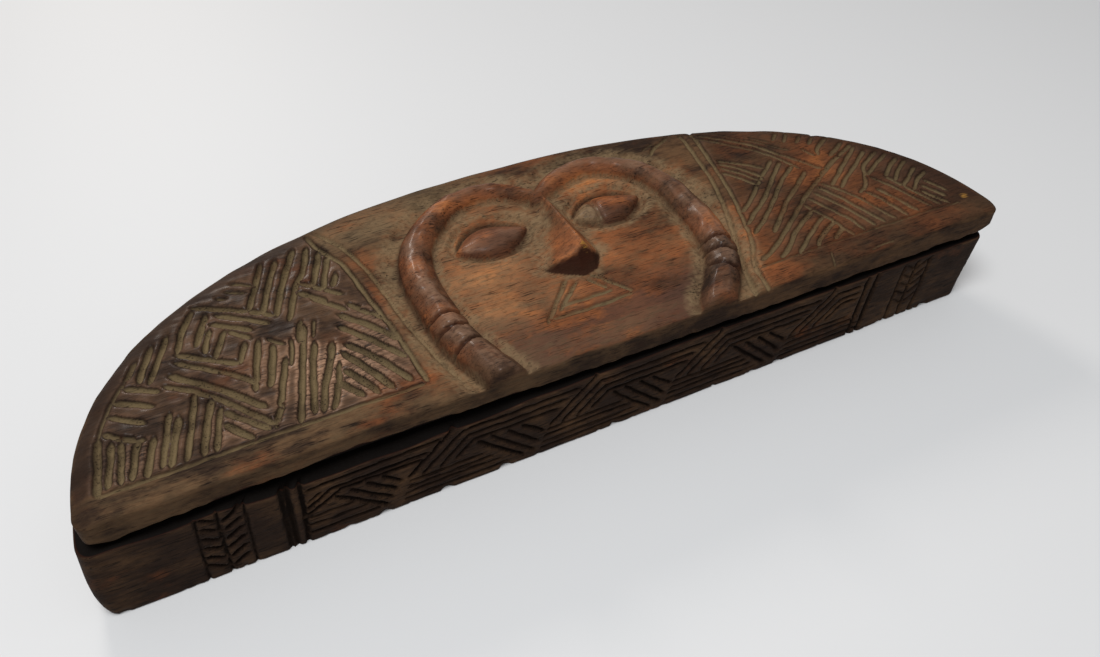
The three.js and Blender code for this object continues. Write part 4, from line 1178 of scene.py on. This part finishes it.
def woodMaterial(name, tones, inGrooves):
    material = bpy.data.materials.new(name)
    material.use_nodes = True
    sheet = Sheet(material.node_tree)
    ramp = sheet.ramp
    place = sheet.node("ShaderNodeTexCoord", {}, {}, "Object")

    def noise(scale, stretch, detail=3.0, roughness=0.55):
        spread = sheet.node("ShaderNodeMapping", {}, {"Vector": place, "Scale": stretch})
        return sheet.node("ShaderNodeTexNoise", {}, {"Vector": spread, "Scale": scale, "Detail": detail,
                                                     "Roughness": roughness})

    def own(title):
        return sheet.node("ShaderNodeAttribute", {"attribute_name": title}, {}, "Fac")

    hollow, dusty, polished, darkened = own("hollow"), own("dusty"), own("polished"), own("darkened")
    grooveDepth = own("groove") / mm
    raised = hollow * -1
    patch = noise(50, (1, 1.7, 1.7), 8, 0.64)
    grain = noise(95, (1, 6, 6), 3, 0.5)
    pores = noise(430, (0.4, 6, 6), 2, 0.5)
    speck = noise(900, (1, 1.3, 1.3), 2)
    fibre = noise(240, (1, 5, 5), 4, 0.65)
    crumbs = noise(480, (1, 1.3, 1.3), 3, 0.6)
    cloud = noise(34, (1, 1.5, 1.5), 4)
    tone = ramp(patch * 0.65 + grain * 0.2 + fibre * 0.15, *tones)
    warmth = own("reddish") + (noise(30, (1, 1.5, 1.5), 8, 0.62) - 0.5) * 2.6
    worn = ramp(raised, 0.1, 0.6)
    edge = ramp(raised, 0.05, 0.35) * polished
    crest = ramp(raised, 0.08, 0.4)
    cut = ramp(grooveDepth + hollow * 0.3 + (speck - 0.5) * 0.6, 0.3, 1.0)
    # painted shade on the grooves' walls
    grooveWallShade = ramp(grooveDepth, 0.05, 0.4) * (1 - ramp(grooveDepth, 0.55, 1.2))
    settled = ramp(dusty + (fibre - 0.5) * 0.6 + (patch - 0.5) * 0.7, 0.12, 1.1)
    # one over the other, each as far as its share says
    layers = (
        (tone, "mid"),
        (ramp(warmth, 0.2, 0.85) * 0.9, "red"),
        (ramp(warmth + worn * 0.2, 0.65, 1.25) * 0.75, "orange"),
        (ramp(cloud, 0.56, 0.7) * 0.36, "dark"),
        (own("smoky") * ramp(patch, 0.36, 0.56), "smoke"),
        # partly painted shade, on the almonds' lower halves
        (own("dim"), "dark"),
        (ramp(fibre, 0.48, 0.66) * 0.42, "black"),
        # painted highlight along polished raised edges, partly the lighter wood of their wear
        (edge * ramp(patch, 0.42, 0.6) * 0.4, "wornEdgeAndGlint"),
        # painted highlight on the crests
        (crest * own("gleam") * ramp(fibre, 0.35, 0.6) * 0.8, "gleam"),
        # dust in the lid's grooves; in the body's grooves black, as painted shade
        (cut * own("khaki") * (ramp(patch, 0.38, 0.56) * 0.45 + 0.55) * 0.9, inGrooves),
        (grooveWallShade * (polished * 0.3 + 0.22), "black"),
        (settled * 0.8, "dust"),
        (settled * ramp(crumbs, 0.52, 0.64) * 0.4, "dark"),
        (ramp(pores, 0.56, 0.66) * (0.8 - ramp(tone, 0.1, 0.9) * 0.45), "black"),
        (own("rim") * 0.7, "dark"),
        # painted shade, brown, and black over and under the gap
        (darkened * 0.95, "paintedShadeBrown"),
        (ramp(darkened, 1, 2), "black"),
        (ramp(own("rubbed") * (fibre * 5 - 1.9), 0.15, 0.9) * 0.75, "ochre"),
    )
    shade = wood["dark"]
    for share, over in layers:
        shade = sheet.blend(share, shade, wood[over])
    bump = grain * 0.5 + pores * 0.35 + speck * 0.25 + patch * 0.6 + settled * crumbs * 1.6
    surface = {
        "Base Color": shade,
        "Roughness": 0.7 - polished * 0.15 - worn * 0.1 + cut * 0.2 + dusty * 0.15 + (speck - 0.5) * 0.2,
        "Coat Weight": ramp(polished + (grain - 0.5) * 1.2 + worn * 0.3 - cut, 0.6, 1.5) * 0.26,
        "Normal": sheet.node("ShaderNodeBump", {}, {"Height": bump, "Strength": wood["bumpStrength"],
                                                    "Distance": wood["bumpDistance"]}),
        "Specular IOR Level": wood["specular"],
        "Coat Roughness": wood["coatRoughness"],
    }
    for title, value in surface.items():
        sheet.feed(material.node_tree.nodes["Principled BSDF"].inputs[title], value)
    return material


lidWood = woodMaterial("wornLidWood", wood["lidTones"], "grooveDust")
# the body's grooves are coloured black as painted shade
bodyWood = woodMaterial("darkBodyWood", wood["bodyTones"], "black")
for piece, material in ((lidPiece, lidWood), (bodyPiece, bodyWood)):
    piece.data.materials.clear()
    piece.data.materials.append(material)

print("camera and light")
view = {
    "sensor": 36,
    "lens": 29.38,
    "position": (-103.7, -155.9, 221.6),
    "azimuth": -27.49,
    "elevation": 44.33,
    "roll": 1.52,
}
studio = {
    # place, target, size, power and tint of each lamp
    "overhead": ((-0.22, -0.2, 0.95), (-0.04, -0.02, 0), 0.45, 7.7, (1, 1, 1)),
    "window": ((-0.1, 1.3, 0.8), (0, 0, 0.02), 0.4, 7.4, (1, 0.93, 0.86)),
}
room = {
    "tint": (0.97, 0.98, 1.0, 1),
    "strength": 0.34,
    "tableReach": 4.0,
    "table": colour(208, 209, 210),
    "tableRoughness": 0.6,
}


def addCamera():
    made = bpy.data.cameras.new("camera")
    made.sensor_width = view["sensor"]
    made.lens = view["lens"]
    made.clip_start = 0.01
    camera = addObject("camera", made)
    x, y, z = view["position"]
    turn = Matrix.Translation(Vector((x, y + frontShift, z)) * mm)
    for angle, axis in ((view["azimuth"], "Z"), (90 - view["elevation"], "X"), (view["roll"], "Z")):
        turn = turn @ Matrix.Rotation(math.radians(angle), 4, axis)
    camera.matrix_world = turn
    bpy.context.scene.camera = camera


def addLamp(name, place, target, size, power, tint):
    made = bpy.data.lights.new(name, "AREA")
    made.shape = "DISK"
    made.size = size
    made.energy = power
    made.color = tint
    lamp = addObject(name, made)
    lamp.location = place
    lamp.rotation_euler = (Vector(target) - Vector(place)).to_track_quat("-Z", "Y").to_euler()


def addTable():
    mesh = bpy.data.meshes.new("table")
    reach = room["tableReach"]
    corners = [(x * reach, y * reach, 0) for x, y in ((-1, -1), (1, -1), (1, 1), (-1, 1))]
    mesh.from_pydata(corners, [], [range(4)])
    table = addObject("table", mesh)
    material = bpy.data.materials.new("paleTable")
    material.use_nodes = True
    shader = material.node_tree.nodes["Principled BSDF"]
    shader.inputs["Base Color"].default_value = room["table"]
    shader.inputs["Roughness"].default_value = room["tableRoughness"]
    mesh.materials.append(material)


addCamera()
addTable()
for name, values in studio.items():
    addLamp(name, *values)
world = bpy.data.worlds.new("softRoom")
world.use_nodes = True
world.node_tree.nodes["Background"].inputs["Color"].default_value = room["tint"]
world.node_tree.nodes["Background"].inputs["Strength"].default_value = room["strength"]
bpy.context.scene.world = world
bpy.context.scene.view_settings.view_transform = "Standard"

for piece, owner, node, slot in ((lidPiece, "lid", "lid", "lid_wood"),
                                 (bodyPiece, "body", "box_body", "body_wood")):
    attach(piece, owner)
    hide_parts(node)

print("triangles", {p.name: sum(len(f.vertices) - 2 for f in p.data.polygons) for p in (lidPiece, bodyPiece)})
